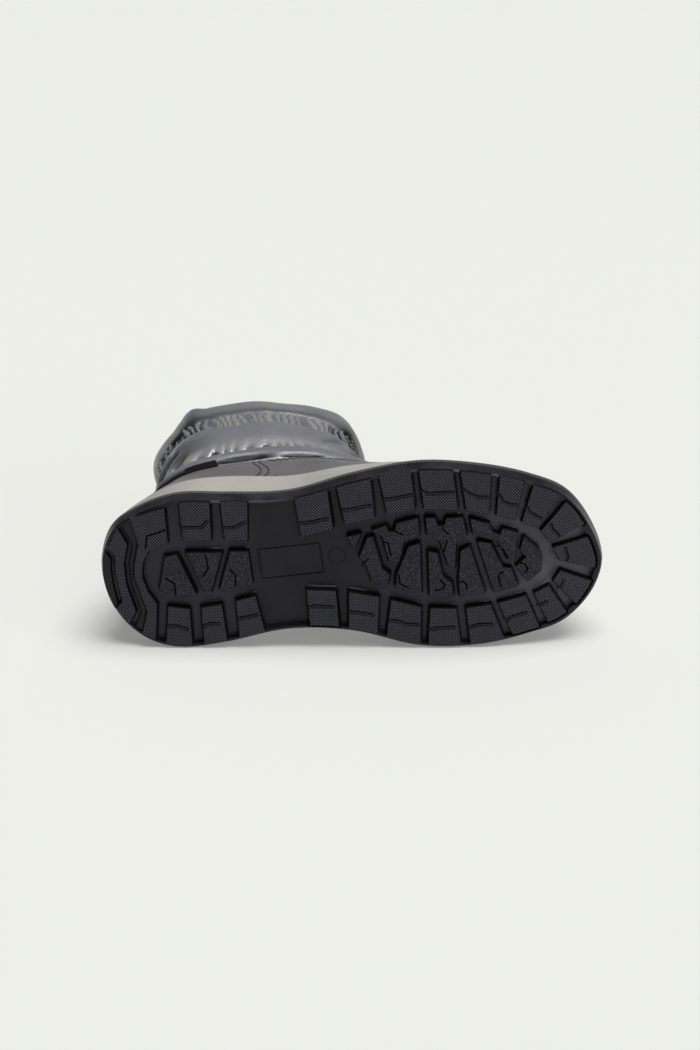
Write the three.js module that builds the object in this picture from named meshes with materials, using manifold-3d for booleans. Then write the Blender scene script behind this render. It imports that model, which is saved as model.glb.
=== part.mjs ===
import * as THREE from 'three';
import Module from 'manifold-3d';

// Winter boot for the right foot, lying on its medial side on the floor (Z = 0).
// Heel at -X, toe at +X, tread towards -Y, collar towards +Y, lateral side up.
// All sizes in millimetres. Tables hold shares of the named sizes.

const SOLE_LENGTH = 280;
const BALL_WIDTH = 108;
const BOOT_HEIGHT = 205;
const TOE_SPRING = 16.2;
const TOE_SPRING_START = 0.666;
const HEEL_SPRING = 3.2;
const HEEL_SPRING_END = 0.148;
const LUG_DEPTH = 5;
const RIM_TOP = 15;
const BORDER_WIDTH = 2.6;
const BORDER_TOE_WIDTH = 4.4;
const BORDER_RISE = 0.7;
const BORDER_HEEL_RISE = 2.7;
const GAP = 0.3;
const CUP_FLOOR = 20;
const UPPER_WALL = 3;
const INSOLE_THICKNESS = 4;
const OVERLAY = 1;
const TAB_THICKNESS = 0.8;

// Steps round the boot. Angle 0 is the rear, 90 lateral, 180 the toe, 270 medial.
const STEPS = 60;
const TABLE_STEP = 15;

// Half-widths and middles of the sole outline, every 15 degrees, shares of BALL_WIDTH.
const SOLE_HALF = [0.72, 0.722, 0.652, 0.573, 0.456, 0.378, 0.417, 0.506, 0.554, 0.594, 0.65, 0.585, 0.45];
const SOLE_MIDDLE = [0.429, 0.421, 0.399, 0.402, 0.419, 0.46, 0.503, 0.495, 0.485, 0.475, 0.453, 0.424,
  0.419];

// The same for the top edge of the midsole, which the upper follows.
const TOP_HALF = [0.64, 0.626, 0.597, 0.549, 0.467, 0.401, 0.402, 0.437, 0.479, 0.516, 0.565, 0.59, 0.556];
const TOP_MIDDLE = [0.426, 0.421, 0.4, 0.411, 0.428, 0.448, 0.491, 0.496, 0.486, 0.476, 0.46, 0.443,
  0.436];

const TOP_REAR = 0.0125;
const TOP_FRONT = 0.9786;

// Half-width of the leg every 15 degrees, as a share of the ring's own half-width.
const LEG_HALF = [1, 1.03, 1.08, 1.07, 1.02, 0.99, 1, 1.01, 1.05, 1.11, 1.2, 1.3, 1.35];

// Rings of the upper and shaft. Columns: rear along, rear height, front along, front height,
// leg share, leg half-width, leg middle, tuck inwards, share of the toe spring, share of the drop,
// fullness of the rear, fullness of the front. Along is in shares of SOLE_LENGTH and widths are in
// shares of BALL_WIDTH. Heights run from -1 at the cup's floor and 0 at the midsole's top to 1 at
// the collar.
const RINGS = [
  [0.0243, -1.0003, 0.9571, -1.0003, 0, 0.3657, 0.4194, 0.0389, 1, 0, 1, 0.78],
  [0.0243, 0, 0.9661, 0, 0, 0.3657, 0.4194, 0.0315, 1, 1, 1, 0.78],
  [0.0304, 0.0709, 0.9429, 0.0651, 0.25, 0.3657, 0.4194, 0.0204, 1, 0, 1, 0.78],
  [0.0429, 0.142, 0.8714, 0.148, 0.55, 0.3657, 0.4194, 0.0148, 0.7, 0, 1, 0.78],
  [0.0571, 0.1953, 0.7714, 0.2308, 0.85, 0.3657, 0.4194, 0.0056, 0.3, 0, 1, 0.78],
  [0.0714, 0.2366, 0.6786, 0.2958, 1, 0.3657, 0.4194, 0, 0, 0, 1, 0.78],
  [0.0929, 0.361, 0.5571, 0.4556, 1, 0.3731, 0.4037, 0, 0, 0, 1, 0.78],
  [0.0982, 0.5384, 0.5179, 0.6036, 1, 0.3759, 0.4, 0, 0, 0, 1, 0.9],
  [0.088, 0.7041, 0.511, 0.7278, 1, 0.3796, 0.3917, 0, 0, 0, 1, 1],
  [0.084, 0.7929, 0.5145, 0.8047, 1, 0.3759, 0.387, 0, 0, 0, 0.95, 1],
  [0.0725, 0.9976, 0.516, 0.9976, 1, 0.3426, 0.3685, 0, 0, 0, 0.79, 1],
];
// How much lower the midsole's top edge is at the toe than at the heel.
const FOREFOOT_DROP = 5.2;
const MIDSOLE_TOP = 36;
// How far the midsole's foot stands inside the outsole's rim.
const OUTLINE_STEP = 1;
const SEAM = 5;
const COLLAR = 10;

// Quilted sections of the shaft. Columns: first ring, last ring, share of PUFF, share of the arch.
const PUFF = 5.6;
const BAFFLES = [
  [5, 6, 0.7, 1],
  [6, 8, 1, 1],
  [8, 9, 0.27, 1],
  [9, 10, 0.9, 0.86],
];

// Outsole side between the root of the tread and the rim. Columns: share of that height, inset.
const OUTSOLE_SIDE = [
  [0.16, 0.3],
  [0.45, 0.1],
  [0.52, 0.9],
  [0.59, 0],
  [0.95, 0],
  [1, 0.5],
];

// Ring lugs. Columns: outer start, outer end, inner start, inner end (degrees), outer inset as a
// share of RING_LUG_REACH, which is the inset of their inner ends.
const RING_LUGS = [
  [46.8, 55.8, 45.9, 56.5, 0.058],
  [58.6, 65.6, 59.6, 65.6, 0.042],
  [76.6, 84.1, 76.3, 82.5, 0.046],
  [86.1, 93.8, 85.2, 92.6, 0.058],
  [95.7, 103, 95.5, 103, 0.033],
  [104.8, 113, 105.6, 115.6, 0.054],
  [114.8, 122.8, 117.9, 125, 0.05],
  [125.2, 132.5, 127.3, 134.3, 0.042],
  [135.4, 145, 136.5, 146.4, 0.067],
  [148.6, 159.2, 149.6, 158, 0.117],
  [164, 184, 160.5, 168.5, 0.192],
  [191.5, 204.3, 190.5, 202.5, 0.167],
  [209.2, 218, 206.6, 220.6, 0.175],
  [221.4, 230, 223.4, 232.4, 0.125],
  [232.6, 242, 234.8, 242.6, 0.083],
  [244.4, 252.6, 245.4, 253, 0.083],
  [254.4, 262.6, 255.8, 264, 0.092],
  [264.6, 271, 266.4, 272, 0.108],
  [273.2, 279.8, 274.6, 280.4, 0.117],
  [290.2, 296.6, 290.2, 294.8, 0.092],
  [299.8, 306.2, 299, 305, 0.067],
  [309.6, 318.4, 309.2, 322.4, 0.092],
];
const RING_LUG_REACH = 24;

// Lugs inside the ring, as corners [along, across] in shares of SOLE_LENGTH and BALL_WIDTH.
const CENTRE_LUGS = {
  heelRear: [[0.129, 0.504], [0.153, 0.52], [0.191, 0.296], [0.153, 0.287], [0.117, 0.32]],
  heelMiddle: [[0.17, 0.529], [0.242, 0.529], [0.219, 0.303], [0.207, 0.303]],
  heelFront: [[0.258, 0.535], [0.294, 0.535], [0.302, 0.358], [0.236, 0.318]],
  wedge: [[0.488, 0.614], [0.516, 0.632], [0.503, 0.543]],
  medialHook: [
    [0.528, 0.61], [0.539, 0.614], [0.558, 0.443], [0.573, 0.41],
    [0.569, 0.342], [0.538, 0.36], [0.527, 0.453], [0.512, 0.503],
  ],
  lateralHook: [
    [0.537, 0.649], [0.59, 0.696], [0.628, 0.717], [0.631, 0.617],
    [0.601, 0.589], [0.591, 0.475], [0.572, 0.475], [0.557, 0.617],
  ],
  medialBar: [[0.609, 0.561], [0.632, 0.582], [0.636, 0.299], [0.584, 0.335], [0.586, 0.403]],
  lateralBall: [
    [0.642, 0.717], [0.715, 0.719], [0.725, 0.616], [0.703, 0.574],
    [0.702, 0.435], [0.689, 0.453], [0.671, 0.589], [0.646, 0.621],
  ],
  medialBall: [
    [0.648, 0.536], [0.667, 0.525], [0.678, 0.399], [0.696, 0.36], [0.7, 0.281], [0.652, 0.288],
  ],
  medialFore: [[0.712, 0.538], [0.73, 0.562], [0.763, 0.298], [0.712, 0.283], [0.709, 0.367]],
  lateralFore: [
    [0.73, 0.711], [0.776, 0.69], [0.825, 0.626], [0.82, 0.47], [0.807, 0.472],
    [0.785, 0.582], [0.736, 0.622],
  ],
  medialToe: [
    [0.745, 0.586], [0.772, 0.573], [0.797, 0.441], [0.813, 0.432], [0.829, 0.332], [0.78, 0.299],
  ],
  toe: [
    [0.837, 0.6], [0.866, 0.533], [0.875, 0.461], [0.872, 0.404],
    [0.847, 0.351], [0.823, 0.441], [0.842, 0.488], [0.83, 0.53],
  ],
};

// The heel's rear: a C-shaped lug, then two chevron steps that rise towards the back, in shares
// of LUG_DEPTH.
const HEEL_C = [
  [0.13, 0.771], [0.061, 0.713], [0.075, 0.569], [0.067, 0.459], [0.066, 0.392],
  [0.09, 0.202], [0.08, 0.078], [0.108, 0.048], [0.112, 0.246], [0.095, 0.307],
  [0.083, 0.392], [0.086, 0.472], [0.097, 0.528], [0.115, 0.559], [0.136, 0.578],
];
const HEEL_STEPS = [
  {
    rise: 0.24,
    corners: [
      [0.056, 0.7], [0.07, 0.569], [0.062, 0.459], [0.061, 0.392], [0.085, 0.202], [0.075, 0.09],
      [0.063, 0.108], [0.076, 0.195], [0.058, 0.342], [0.054, 0.458], [0.062, 0.562], [0.041, 0.657],
    ],
  },
  {
    rise: 0.48,
    corners: [
      [0.036, 0.65], [0.057, 0.562], [0.049, 0.458], [0.053, 0.342], [0.071, 0.195], [0.056, 0.122],
      [0.028, 0.215], [0.04, 0.247], [0.028, 0.4], [0.028, 0.498], [0.013, 0.538],
    ],
  },
];

const radians = (degrees) => (degrees * Math.PI) / 180;
const mix = (a, b, t) => a + (b - a) * t;

// Smooth value between the rows of a table.
function smoothAt(values, x) {
  const i = Math.max(0, Math.min(Math.floor(x), values.length - 2));
  const t = x - i;
  const at = (k) => values[Math.max(0, Math.min(values.length - 1, k))];
  const [a, b, c, d] = [at(i - 1), at(i), at(i + 1), at(i + 2)];
  return b + 0.5 * t * (c - a + t * (2 * a - 5 * b + 4 * c - d + t * (3 * (b - c) + d - a)));
}

// Position of an angle in the 15-degree tables, the same for both sides.
function tableRow(angle) {
  const turn = ((angle % 360) + 360) % 360;
  return (turn <= 180 ? turn : 360 - turn) / TABLE_STEP;
}

function spring(along) {
  const toe = Math.max(0, (along / SOLE_LENGTH - TOE_SPRING_START) / (1 - TOE_SPRING_START));
  const heel = Math.max(0, (HEEL_SPRING_END - along / SOLE_LENGTH) / HEEL_SPRING_END);
  return TOE_SPRING * toe * toe + HEEL_SPRING * heel * heel;
}

// 0 up to 0, 1 from 1, smooth between.
function easing(x) {
  const t = Math.max(0, Math.min(1, x));
  return t * t * (3 - 2 * t);
}

// 0 at the heel and waist, 1 at the toe.
const forefootShare = (along) => easing((along / SOLE_LENGTH - 0.45) / 0.5);

// Row frame: along from the heel, height from the tread, across from the floor.
function place(along, height, across) {
  return [along - SOLE_LENGTH / 2, height - BOOT_HEIGHT / 2, Math.max(across, 0)];
}

// A closed line seen from below: [along, across], moved outwards by `out`.
function lineAt(halves, middles, rear, front, angle, out) {
  const at = (turn) => {
    const row = tableRow(turn);
    const share = (1 - Math.cos(radians(turn))) / 2;
    const across = smoothAt(middles, row) + smoothAt(halves, row) * Math.sin(radians(turn));
    return [mix(rear, front, share), BALL_WIDTH * across];
  };
  const [along, across] = at(angle);
  const before = at(angle - 0.05);
  const after = at(angle + 0.05);
  const slope = [after[0] - before[0], after[1] - before[1]];
  const size = Math.hypot(slope[0], slope[1]);
  return [along - (out * slope[1]) / size, across + (out * slope[0]) / size];
}

const soleLine = (angle, out) => lineAt(SOLE_HALF, SOLE_MIDDLE, 0, SOLE_LENGTH, angle, out);
const topLine = (angle, out) => (
  lineAt(TOP_HALF, TOP_MIDDLE, TOP_REAR * SOLE_LENGTH, TOP_FRONT * SOLE_LENGTH, angle, out)
);

// Puff of the quilting outside the upper's wall, at a ring position.
function puffAt(ring) {
  const baffle = BAFFLES.find(([first, last]) => ring >= first && ring <= last);
  if (!baffle) return 0;
  const [first, last, puff, arch] = baffle;
  return PUFF * puff * Math.sin(Math.PI * arch * ((ring - first) / (last - first))) ** 0.9;
}

function ringHeight(share) {
  return share < 0 ? mix(MIDSOLE_TOP, CUP_FLOOR + GAP, -share) : mix(MIDSOLE_TOP, BOOT_HEIGHT, share);
}

// Outer surface of the upper and shaft before any offset: [along, height, across].
function bareSurface(angle, ring) {
  const column = (k) => smoothAt(RINGS.map((row) => row[k]), ring);
  const heightOf = (k) => smoothAt(RINGS.map((row) => ringHeight(row[k])), ring);
  const row = tableRow(angle);
  const share = (1 - Math.cos(radians(angle))) / 2;
  const leg = Math.max(0, Math.min(1, column(4)));
  const rearFullness = mix(column(10), 1, easing((row - 2.1) / 1.1));
  const fullness = rearFullness * mix(1, column(11), easing((row - 7) / 4));
  const half = mix(smoothAt(TOP_HALF, row), column(5) * fullness * smoothAt(LEG_HALF, row), leg);
  const middle = mix(smoothAt(TOP_MIDDLE, row), column(6), leg);
  const along = SOLE_LENGTH * mix(column(0), column(2), share);
  const lift = spring(along) * Math.max(0, column(8)) - FOREFOOT_DROP * forefootShare(along) * column(9);
  const height = mix(heightOf(1), heightOf(3), share) + lift;
  return [along, height, BALL_WIDTH * (middle + (half - column(7)) * Math.sin(radians(angle)))];
}

// A point of that surface moved outwards by `out` along its normal.
function surface(angle, ring, out) {
  const point = new THREE.Vector3(...bareSurface(angle, ring));
  const turnBefore = new THREE.Vector3(...bareSurface(angle - 0.5, ring));
  const turnAfter = new THREE.Vector3(...bareSurface(angle + 0.5, ring));
  const low = new THREE.Vector3(...bareSurface(angle, Math.max(0, ring - 0.02)));
  const high = new THREE.Vector3(...bareSurface(angle, Math.min(COLLAR, ring + 0.02)));
  const normal = turnAfter.sub(turnBefore).cross(high.sub(low)).normalize();
  point.addScaledVector(normal, out);
  return [point.x, point.y, point.z];
}

const angles = Array.from({ length: STEPS }, (_, k) => (k * 360) / STEPS);

// One ring of points round the boot, from a function of the angle.
const ringOf = (pointAt) => angles.map((angle) => place(...pointAt(angle)));
const wallRing = (ring, out) => ringOf((angle) => surface(angle, ring, out));

// The raised border of the tread closes the channels between the ring lugs. It sinks at the rear,
// beside the chevron steps, and widens at the toe.
function borderRing(lift, insetAt) {
  return ringOf((angle) => {
    const row = tableRow(angle);
    const width = mix(BORDER_WIDTH, BORDER_TOE_WIDTH, easing((row - 8.5) / 2));
    const rise = mix(BORDER_HEEL_RISE, BORDER_RISE, easing((row - 1.6) / 1.2));
    const [along, across] = soleLine(angle, -insetAt(width));
    return [along, Math.min(rise + lift, LUG_DEPTH) + spring(along), across];
  });
}

function soleRing(height, out) {
  return ringOf((angle) => {
    const [along, across] = soleLine(angle, out);
    return [along, height + spring(along), across];
  });
}

// Index triangles of a stack of rings. Loops close on themselves, others get flat caps.
function stackRings(rings, loop) {
  const points = rings.flat();
  const faces = [];
  const count = rings.length;
  for (let r = 0; r < (loop ? count : count - 1); r += 1) {
    const low = r * STEPS;
    const high = ((r + 1) % count) * STEPS;
    for (let k = 0; k < STEPS; k += 1) {
      const next = (k + 1) % STEPS;
      faces.push([low + k, low + next, high + next], [low + k, high + next, high + k]);
    }
  }
  if (!loop) {
    const last = (count - 1) * STEPS;
    for (let k = 0; k < STEPS / 2; k += 1) {
      const [a, b] = [k, k + 1];
      const [c, d] = [(STEPS - k) % STEPS, STEPS - k - 1];
      if (b !== d) faces.push([a, d, b], [last + a, last + b, last + d]);
      if (a !== c) faces.push([a, c, d], [last + a, last + d, last + c]);
    }
  }
  return { points, faces };
}

// Index triangles of a patch between two equal grids of points.
function thickPatch(outer, inner) {
  const rows = outer.length;
  const columns = outer[0].length;
  const points = [...outer.flat(), ...inner.flat()];
  const inside = rows * columns;
  const faces = [];
  const quad = (a, b, c, d) => faces.push([a, b, c], [a, c, d]);
  for (let r = 0; r < rows - 1; r += 1) {
    for (let k = 0; k < columns - 1; k += 1) {
      const a = r * columns + k;
      quad(a, a + 1, a + columns + 1, a + columns);
      quad(inside + a + columns, inside + a + columns + 1, inside + a + 1, inside + a);
    }
  }
  for (let k = 0; k < columns - 1; k += 1) {
    const top = (rows - 1) * columns + k;
    quad(k, inside + k, inside + k + 1, k + 1);
    quad(top + 1, inside + top + 1, inside + top, top);
  }
  for (let r = 0; r < rows - 1; r += 1) {
    const a = r * columns;
    const b = a + columns - 1;
    quad(a + columns, inside + a + columns, inside + a, a);
    quad(b, inside + b, inside + b + columns, b + columns);
  }
  return { points, faces };
}

function volumeOf({ points, faces }) {
  const [a, b, c] = [new THREE.Vector3(), new THREE.Vector3(), new THREE.Vector3()];
  return faces.reduce((sum, [i, j, k]) => {
    a.set(...points[i]);
    b.set(...points[j]);
    c.set(...points[k]);
    return sum + a.dot(b.cross(c)) / 6;
  }, 0);
}

// The same body with its faces turned outwards.
function facingOut(body) {
  const faces = volumeOf(body) < 0 ? body.faces.map(([i, j, k]) => [i, k, j]) : body.faces;
  return { points: body.points, faces };
}

const wasm = await Module();
wasm.setup();

function toSolid(body) {
  const { points, faces } = facingOut(body);
  const vertProperties = new Float32Array(points.flat());
  const triVerts = new Uint32Array(faces.flat());
  return new wasm.Manifold(new wasm.Mesh({ numProp: 3, vertProperties, triVerts }));
}

function fromSolid(solid) {
  const { numProp, vertProperties, triVerts } = solid.getMesh();
  const points = [];
  for (let k = 0; k < vertProperties.length; k += numProp) {
    points.push([vertProperties[k], vertProperties[k + 1], vertProperties[k + 2]]);
  }
  const faces = [];
  for (let k = 0; k < triVerts.length; k += 3) faces.push([triVerts[k], triVerts[k + 1], triVerts[k + 2]]);
  return { points, faces };
}

// A lug: its corners [along, across] at the tread, slightly wider at the root.
function lugBody(outline, rise) {
  const clockwise = THREE.ShapeUtils.isClockWise(outline.map(([a, w]) => new THREE.Vector2(a, w)));
  const corners = clockwise ? [...outline].reverse() : outline;
  const count = corners.length;
  const middle = corners.reduce((sum, [a, w]) => [sum[0] + a / count, sum[1] + w / count], [0, 0]);
  const tread = corners.map(([a, w]) => place(a, rise + spring(a), w));
  const root = corners.map(([a, w]) => {
    const size = Math.hypot(a - middle[0], w - middle[1]);
    const along = a + ((a - middle[0]) * 0.5) / size;
    return place(along, LUG_DEPTH + 0.8 + spring(a), w + ((w - middle[1]) * 0.5) / size);
  });
  const flat = corners.map(([a, w]) => new THREE.Vector2(a, w));
  const caps = THREE.ShapeUtils.triangulateShape(flat, []);
  const faces = [];
  caps.forEach(([i, j, k]) => faces.push([i, j, k], [count + k, count + j, count + i]));
  for (let k = 0; k < count; k += 1) {
    const next = (k + 1) % count;
    faces.push([next, k, count + k], [next, count + k, count + next]);
  }
  return { points: [...tread, ...root], faces };
}

function ringLugCorners([outerStart, outerEnd, innerStart, innerEnd, inset]) {
  const line = (t) => soleLine(mix(outerStart, outerEnd, t), -inset * RING_LUG_REACH);
  const outer = [0, 1 / 3, 2 / 3, 1].map(line);
  return [...outer, soleLine(innerEnd, -RING_LUG_REACH), soleLine(innerStart, -RING_LUG_REACH)];
}

const fromShares = (corners) => corners.map(([a, w]) => [a * SOLE_LENGTH, w * BALL_WIDTH]);

function outsoleBody() {
  const side = OUTSOLE_SIDE.map(([share, inset]) => soleRing(mix(LUG_DEPTH, RIM_TOP, share), -inset));
  const border = [
    borderRing(LUG_DEPTH, (width) => width + 0.5),
    borderRing(0, (width) => width),
    borderRing(0, () => 1.8),
    borderRing(0.9, () => 0.9),
  ];
  const slab = stackRings([...border, ...side], false);
  const lugs = [
    ...RING_LUGS.map((row) => lugBody(ringLugCorners(row), 0)),
    ...Object.values(CENTRE_LUGS).map((corners) => lugBody(fromShares(corners), 0)),
    lugBody(fromShares(HEEL_C), 0),
    ...HEEL_STEPS.map(({ rise, corners }) => lugBody(fromShares(corners), rise * LUG_DEPTH)),
  ];
  return fromSolid(lugs.reduce((solid, lug) => solid.add(toSolid(lug)), toSolid(slab)));
}

// Side of the midsole between the sole outline and its own top edge. Columns: share of the way
// between the two, share of the height, inset.
const MIDSOLE_SIDE = [
  [0.05, 0, 0.6],
  [0.1, 0.08, 0],
  [0.4, 0.3, 0],
  [0.7, 0.54, 0],
  [1, 0.78, 0],
  [1, 0.93, 0.2],
  [1, 1, 1.2],
];

// Height of the midsole's side above the springing tread.
function midsoleHeight(height, along) {
  const share = (height - RIM_TOP) / (MIDSOLE_TOP - RIM_TOP);
  return height - FOREFOOT_DROP * share * forefootShare(along) + spring(along);
}

function midsoleRing([share, rise, inset]) {
  return ringOf((angle) => {
    const [a0, w0] = soleLine(angle, -inset - OUTLINE_STEP);
    const [a1, w1] = topLine(angle, -inset);
    const along = mix(a0, a1, share);
    return [along, midsoleHeight(mix(RIM_TOP + GAP, MIDSOLE_TOP, rise), along), mix(w0, w1, share)];
  });
}

// A cup: outer side, rim, inner wall beside the upper and floor.
function midsoleBody() {
  const outer = MIDSOLE_SIDE.map(midsoleRing);
  const rim = ringOf((angle) => {
    const [along, , across] = surface(angle, 0.98, GAP);
    return [along, midsoleHeight(MIDSOLE_TOP, along), across];
  });
  const wall = [0.66, 0.33].map((ring) => wallRing(ring, GAP));
  const floor = ringOf((angle) => {
    const [along, , across] = surface(angle, 0, GAP);
    return [along, CUP_FLOOR + spring(along), across];
  });
  return stackRings([...outer, rim, ...wall, floor], false);
}

function upperBody() {
  const rows = [0, 0.33, 0.66, 0.98, 1.5, 2, 2.5, 3, 3.5, 4, 4.5, SEAM];
  const outer = rows.map((ring) => wallRing(ring, 0));
  const inner = [0, 0.98, 2, 3, 4, SEAM].map((ring) => wallRing(ring, -UPPER_WALL)).reverse();
  return stackRings([...outer, ...inner], true);
}

function shaftBody() {
  const rows = [
    5.04, 5.15, 5.35, 5.6, 5.85, 6, 6.12, 6.4, 6.8, 7.2, 7.6, 7.88, 8,
    8.3, 8.7, 9, 9.1, 9.3, 9.6, 9.85, COLLAR,
  ];
  const outer = rows.map((ring) => wallRing(ring, puffAt(ring) - 0.6));
  const inner = [5.04, 5.6, 6, 7, 8, 9, 9.6, COLLAR].map((ring) => wallRing(ring, -UPPER_WALL)).reverse();
  return stackRings([...outer, ...inner], true);
}

// Rear quarter: front edge angle runs from the midsole to the seam.
function counterBody() {
  const rows = [1.12, 1.5, 2, 2.5, 3, 3.5, 4, 4.5, 4.9];
  const turns = angles.map((angle) => (angle > 180 ? angle - 360 : angle));
  const columns = turns.filter((angle) => Math.abs(angle) <= 66).sort((a, b) => a - b);
  const grid = (out) => rows.map((ring) => {
    const edge = mix(70, 78, (ring - 1) / 4);
    return [-edge, ...columns, edge].map((angle) => place(...surface(angle, ring, out)));
  });
  return thickPatch(grid(GAP + OVERLAY), grid(GAP));
}

// Woven tab across the seam at the lateral rear.
function sideTabBody() {
  const rows = [[4.72, GAP * 2 + OVERLAY], [4.98, GAP * 2 + OVERLAY + 0.4], [5.2, puffAt(5.2) + GAP + 0.1]];
  const turns = [44.5, 48, 54, 60];
  const grid = (thickness) => rows.map(([ring, out]) => (
    turns.map((angle) => place(...surface(angle, ring, out + thickness)))
  ));
  return thickPatch(grid(TAB_THICKNESS), grid(0));
}

function insoleBody() {
  const slabRing = (height) => ringOf((angle) => {
    const [along, , across] = surface(angle, 0.1, -UPPER_WALL - GAP - 0.3);
    return [along, height + spring(along), across];
  });
  return stackRings([slabRing(CUP_FLOOR + GAP), slabRing(CUP_FLOOR + GAP + INSOLE_THICKNESS)], false);
}

function node(name, body, color, roughness) {
  const { points, faces } = facingOut(body);
  const geometry = new THREE.BufferGeometry();
  geometry.setAttribute('position', new THREE.BufferAttribute(new Float32Array(points.flat()), 3));
  geometry.setIndex(faces.flat());
  const material = new THREE.MeshStandardMaterial({ color, roughness, metalness: 0, flatShading: true });
  const mesh = new THREE.Mesh(geometry, material);
  mesh.name = name;
  return mesh;
}

const boot = new THREE.Group();
boot.name = 'winter_boot';
boot.add(
  node('outsole', outsoleBody(), 0x17181a, 0.6),
  node('midsole', midsoleBody(), 0xb9b5ac, 0.7),
  node('upper', upperBody(), 0x85868a, 0.5),
  node('counter', counterBody(), 0x8f8c88, 0.5),
  node('shaft', shaftBody(), 0x8b9096, 0.45),
  node('side_tab', sideTabBody(), 0x141416, 0.8),
  node('insole', insoleBody(), 0x4a4a4c, 0.9),
);

export default boot;
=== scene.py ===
import math

import bpy
import numpy as np
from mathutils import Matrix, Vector
from mathutils.geometry import delaunay_2d_cdt
from mathutils.kdtree import KDTree


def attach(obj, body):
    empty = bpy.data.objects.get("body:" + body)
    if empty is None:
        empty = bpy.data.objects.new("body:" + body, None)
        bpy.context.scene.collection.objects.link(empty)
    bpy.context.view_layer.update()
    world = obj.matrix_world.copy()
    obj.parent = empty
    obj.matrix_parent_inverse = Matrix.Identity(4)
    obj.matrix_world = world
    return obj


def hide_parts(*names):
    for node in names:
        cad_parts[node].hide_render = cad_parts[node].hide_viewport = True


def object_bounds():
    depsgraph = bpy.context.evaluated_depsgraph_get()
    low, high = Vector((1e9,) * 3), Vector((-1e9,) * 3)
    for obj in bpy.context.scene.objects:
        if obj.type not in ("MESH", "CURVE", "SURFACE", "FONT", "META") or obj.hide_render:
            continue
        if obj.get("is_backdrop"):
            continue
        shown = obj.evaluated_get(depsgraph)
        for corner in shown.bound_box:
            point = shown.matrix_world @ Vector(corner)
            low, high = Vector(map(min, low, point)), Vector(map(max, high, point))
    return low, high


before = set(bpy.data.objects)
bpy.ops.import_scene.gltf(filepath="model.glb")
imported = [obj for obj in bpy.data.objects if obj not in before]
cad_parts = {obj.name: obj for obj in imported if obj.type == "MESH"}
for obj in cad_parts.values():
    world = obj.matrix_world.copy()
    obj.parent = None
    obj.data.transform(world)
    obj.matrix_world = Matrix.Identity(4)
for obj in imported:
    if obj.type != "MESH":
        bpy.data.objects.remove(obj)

bl_info = {
    "name": "Winter boot",
    "version": (1, 0, 0),
    "blender": (4, 5, 0),
    "location": "3D View > Sidebar > Boot",
    "description": "Dresses the packed winter boot: lugged rubber sole, leather, quilted nylon",
    "category": "Add Mesh",
}

CAD_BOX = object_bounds()

# Sizes of the boot in millimetres, the same as the frame's own.
SOLE_LENGTH = 280
BALL_WIDTH = 108
BOOT_HEIGHT = 205
TOE_SPRING = 16.2
TOE_SPRING_START = 0.666
HEEL_SPRING = 3.2
HEEL_SPRING_END = 0.148
LUG_DEPTH = 5
RIM_TOP = 15
GAP = 0.3
CUP_FLOOR = 20
UPPER_WALL = 3
OVERLAY = 1
MIDSOLE_TOP = 36
FOREFOOT_DROP = 5.2
OUTLINE_STEP = 1
PUFF = 5.6
SEAM = 5
COLLAR = 10
TABLE_STEP = 15
TOP_REAR = 0.0125
TOP_FRONT = 0.9786
RING_LUG_REACH = 24
BORDER_WIDTH = 2.6
BORDER_TOE_WIDTH = 4.4
BORDER_RISE = 0.7
BORDER_HEEL_RISE = 2.7

# Half-widths and middles of the sole outline and of the midsole's top edge, every 15 degrees.
SOLE_HALF = [0.72, 0.722, 0.652, 0.573, 0.456, 0.378, 0.417, 0.506, 0.554, 0.594, 0.65, 0.585,
             0.45]
SOLE_MIDDLE = [0.429, 0.421, 0.399, 0.402, 0.419, 0.46, 0.503, 0.495, 0.485, 0.475, 0.453, 0.424,
               0.419]
TOP_HALF = [0.64, 0.626, 0.597, 0.549, 0.467, 0.401, 0.402, 0.437, 0.479, 0.516, 0.565, 0.59,
            0.556]
TOP_MIDDLE = [0.426, 0.421, 0.4, 0.411, 0.428, 0.448, 0.491, 0.496, 0.486, 0.476, 0.46, 0.443,
              0.436]
LEG_HALF = [1, 1.03, 1.08, 1.07, 1.02, 0.99, 1, 1.01, 1.05, 1.11, 1.2, 1.3, 1.35]

# Rings of the upper and shaft, from the cup's floor to the collar, in shares of the named sizes:
# along and height at the rear, along and height at the front, share of the leg's shape,
# half-width, middle, inset, shares of the springs and of the forefoot's drop, and fullness at
# the rear and at the front.
RINGS = np.array([
    [0.0243, -1.0003, 0.9571, -1.0003, 0, 0.3657, 0.4194, 0.0389, 1, 0, 1, 0.78],
    [0.0243, 0, 0.9661, 0, 0, 0.3657, 0.4194, 0.0315, 1, 1, 1, 0.78],
    [0.0304, 0.0709, 0.9429, 0.0651, 0.25, 0.3657, 0.4194, 0.0204, 1, 0, 1, 0.78],
    [0.0429, 0.142, 0.8714, 0.148, 0.55, 0.3657, 0.4194, 0.0148, 0.7, 0, 1, 0.78],
    [0.0571, 0.1953, 0.7714, 0.2308, 0.85, 0.3657, 0.4194, 0.0056, 0.3, 0, 1, 0.78],
    [0.0714, 0.2366, 0.6786, 0.2958, 1, 0.3657, 0.4194, 0, 0, 0, 1, 0.78],
    [0.0929, 0.361, 0.5571, 0.4556, 1, 0.3731, 0.4037, 0, 0, 0, 1, 0.78],
    [0.0982, 0.5384, 0.5179, 0.6036, 1, 0.3759, 0.4, 0, 0, 0, 1, 0.9],
    [0.088, 0.7041, 0.511, 0.7278, 1, 0.3796, 0.3917, 0, 0, 0, 1, 1],
    [0.084, 0.7929, 0.5145, 0.8047, 1, 0.3759, 0.387, 0, 0, 0, 0.95, 1],
    [0.0725, 0.9976, 0.516, 0.9976, 1, 0.3426, 0.3685, 0, 0, 0, 0.79, 1],
])
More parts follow.
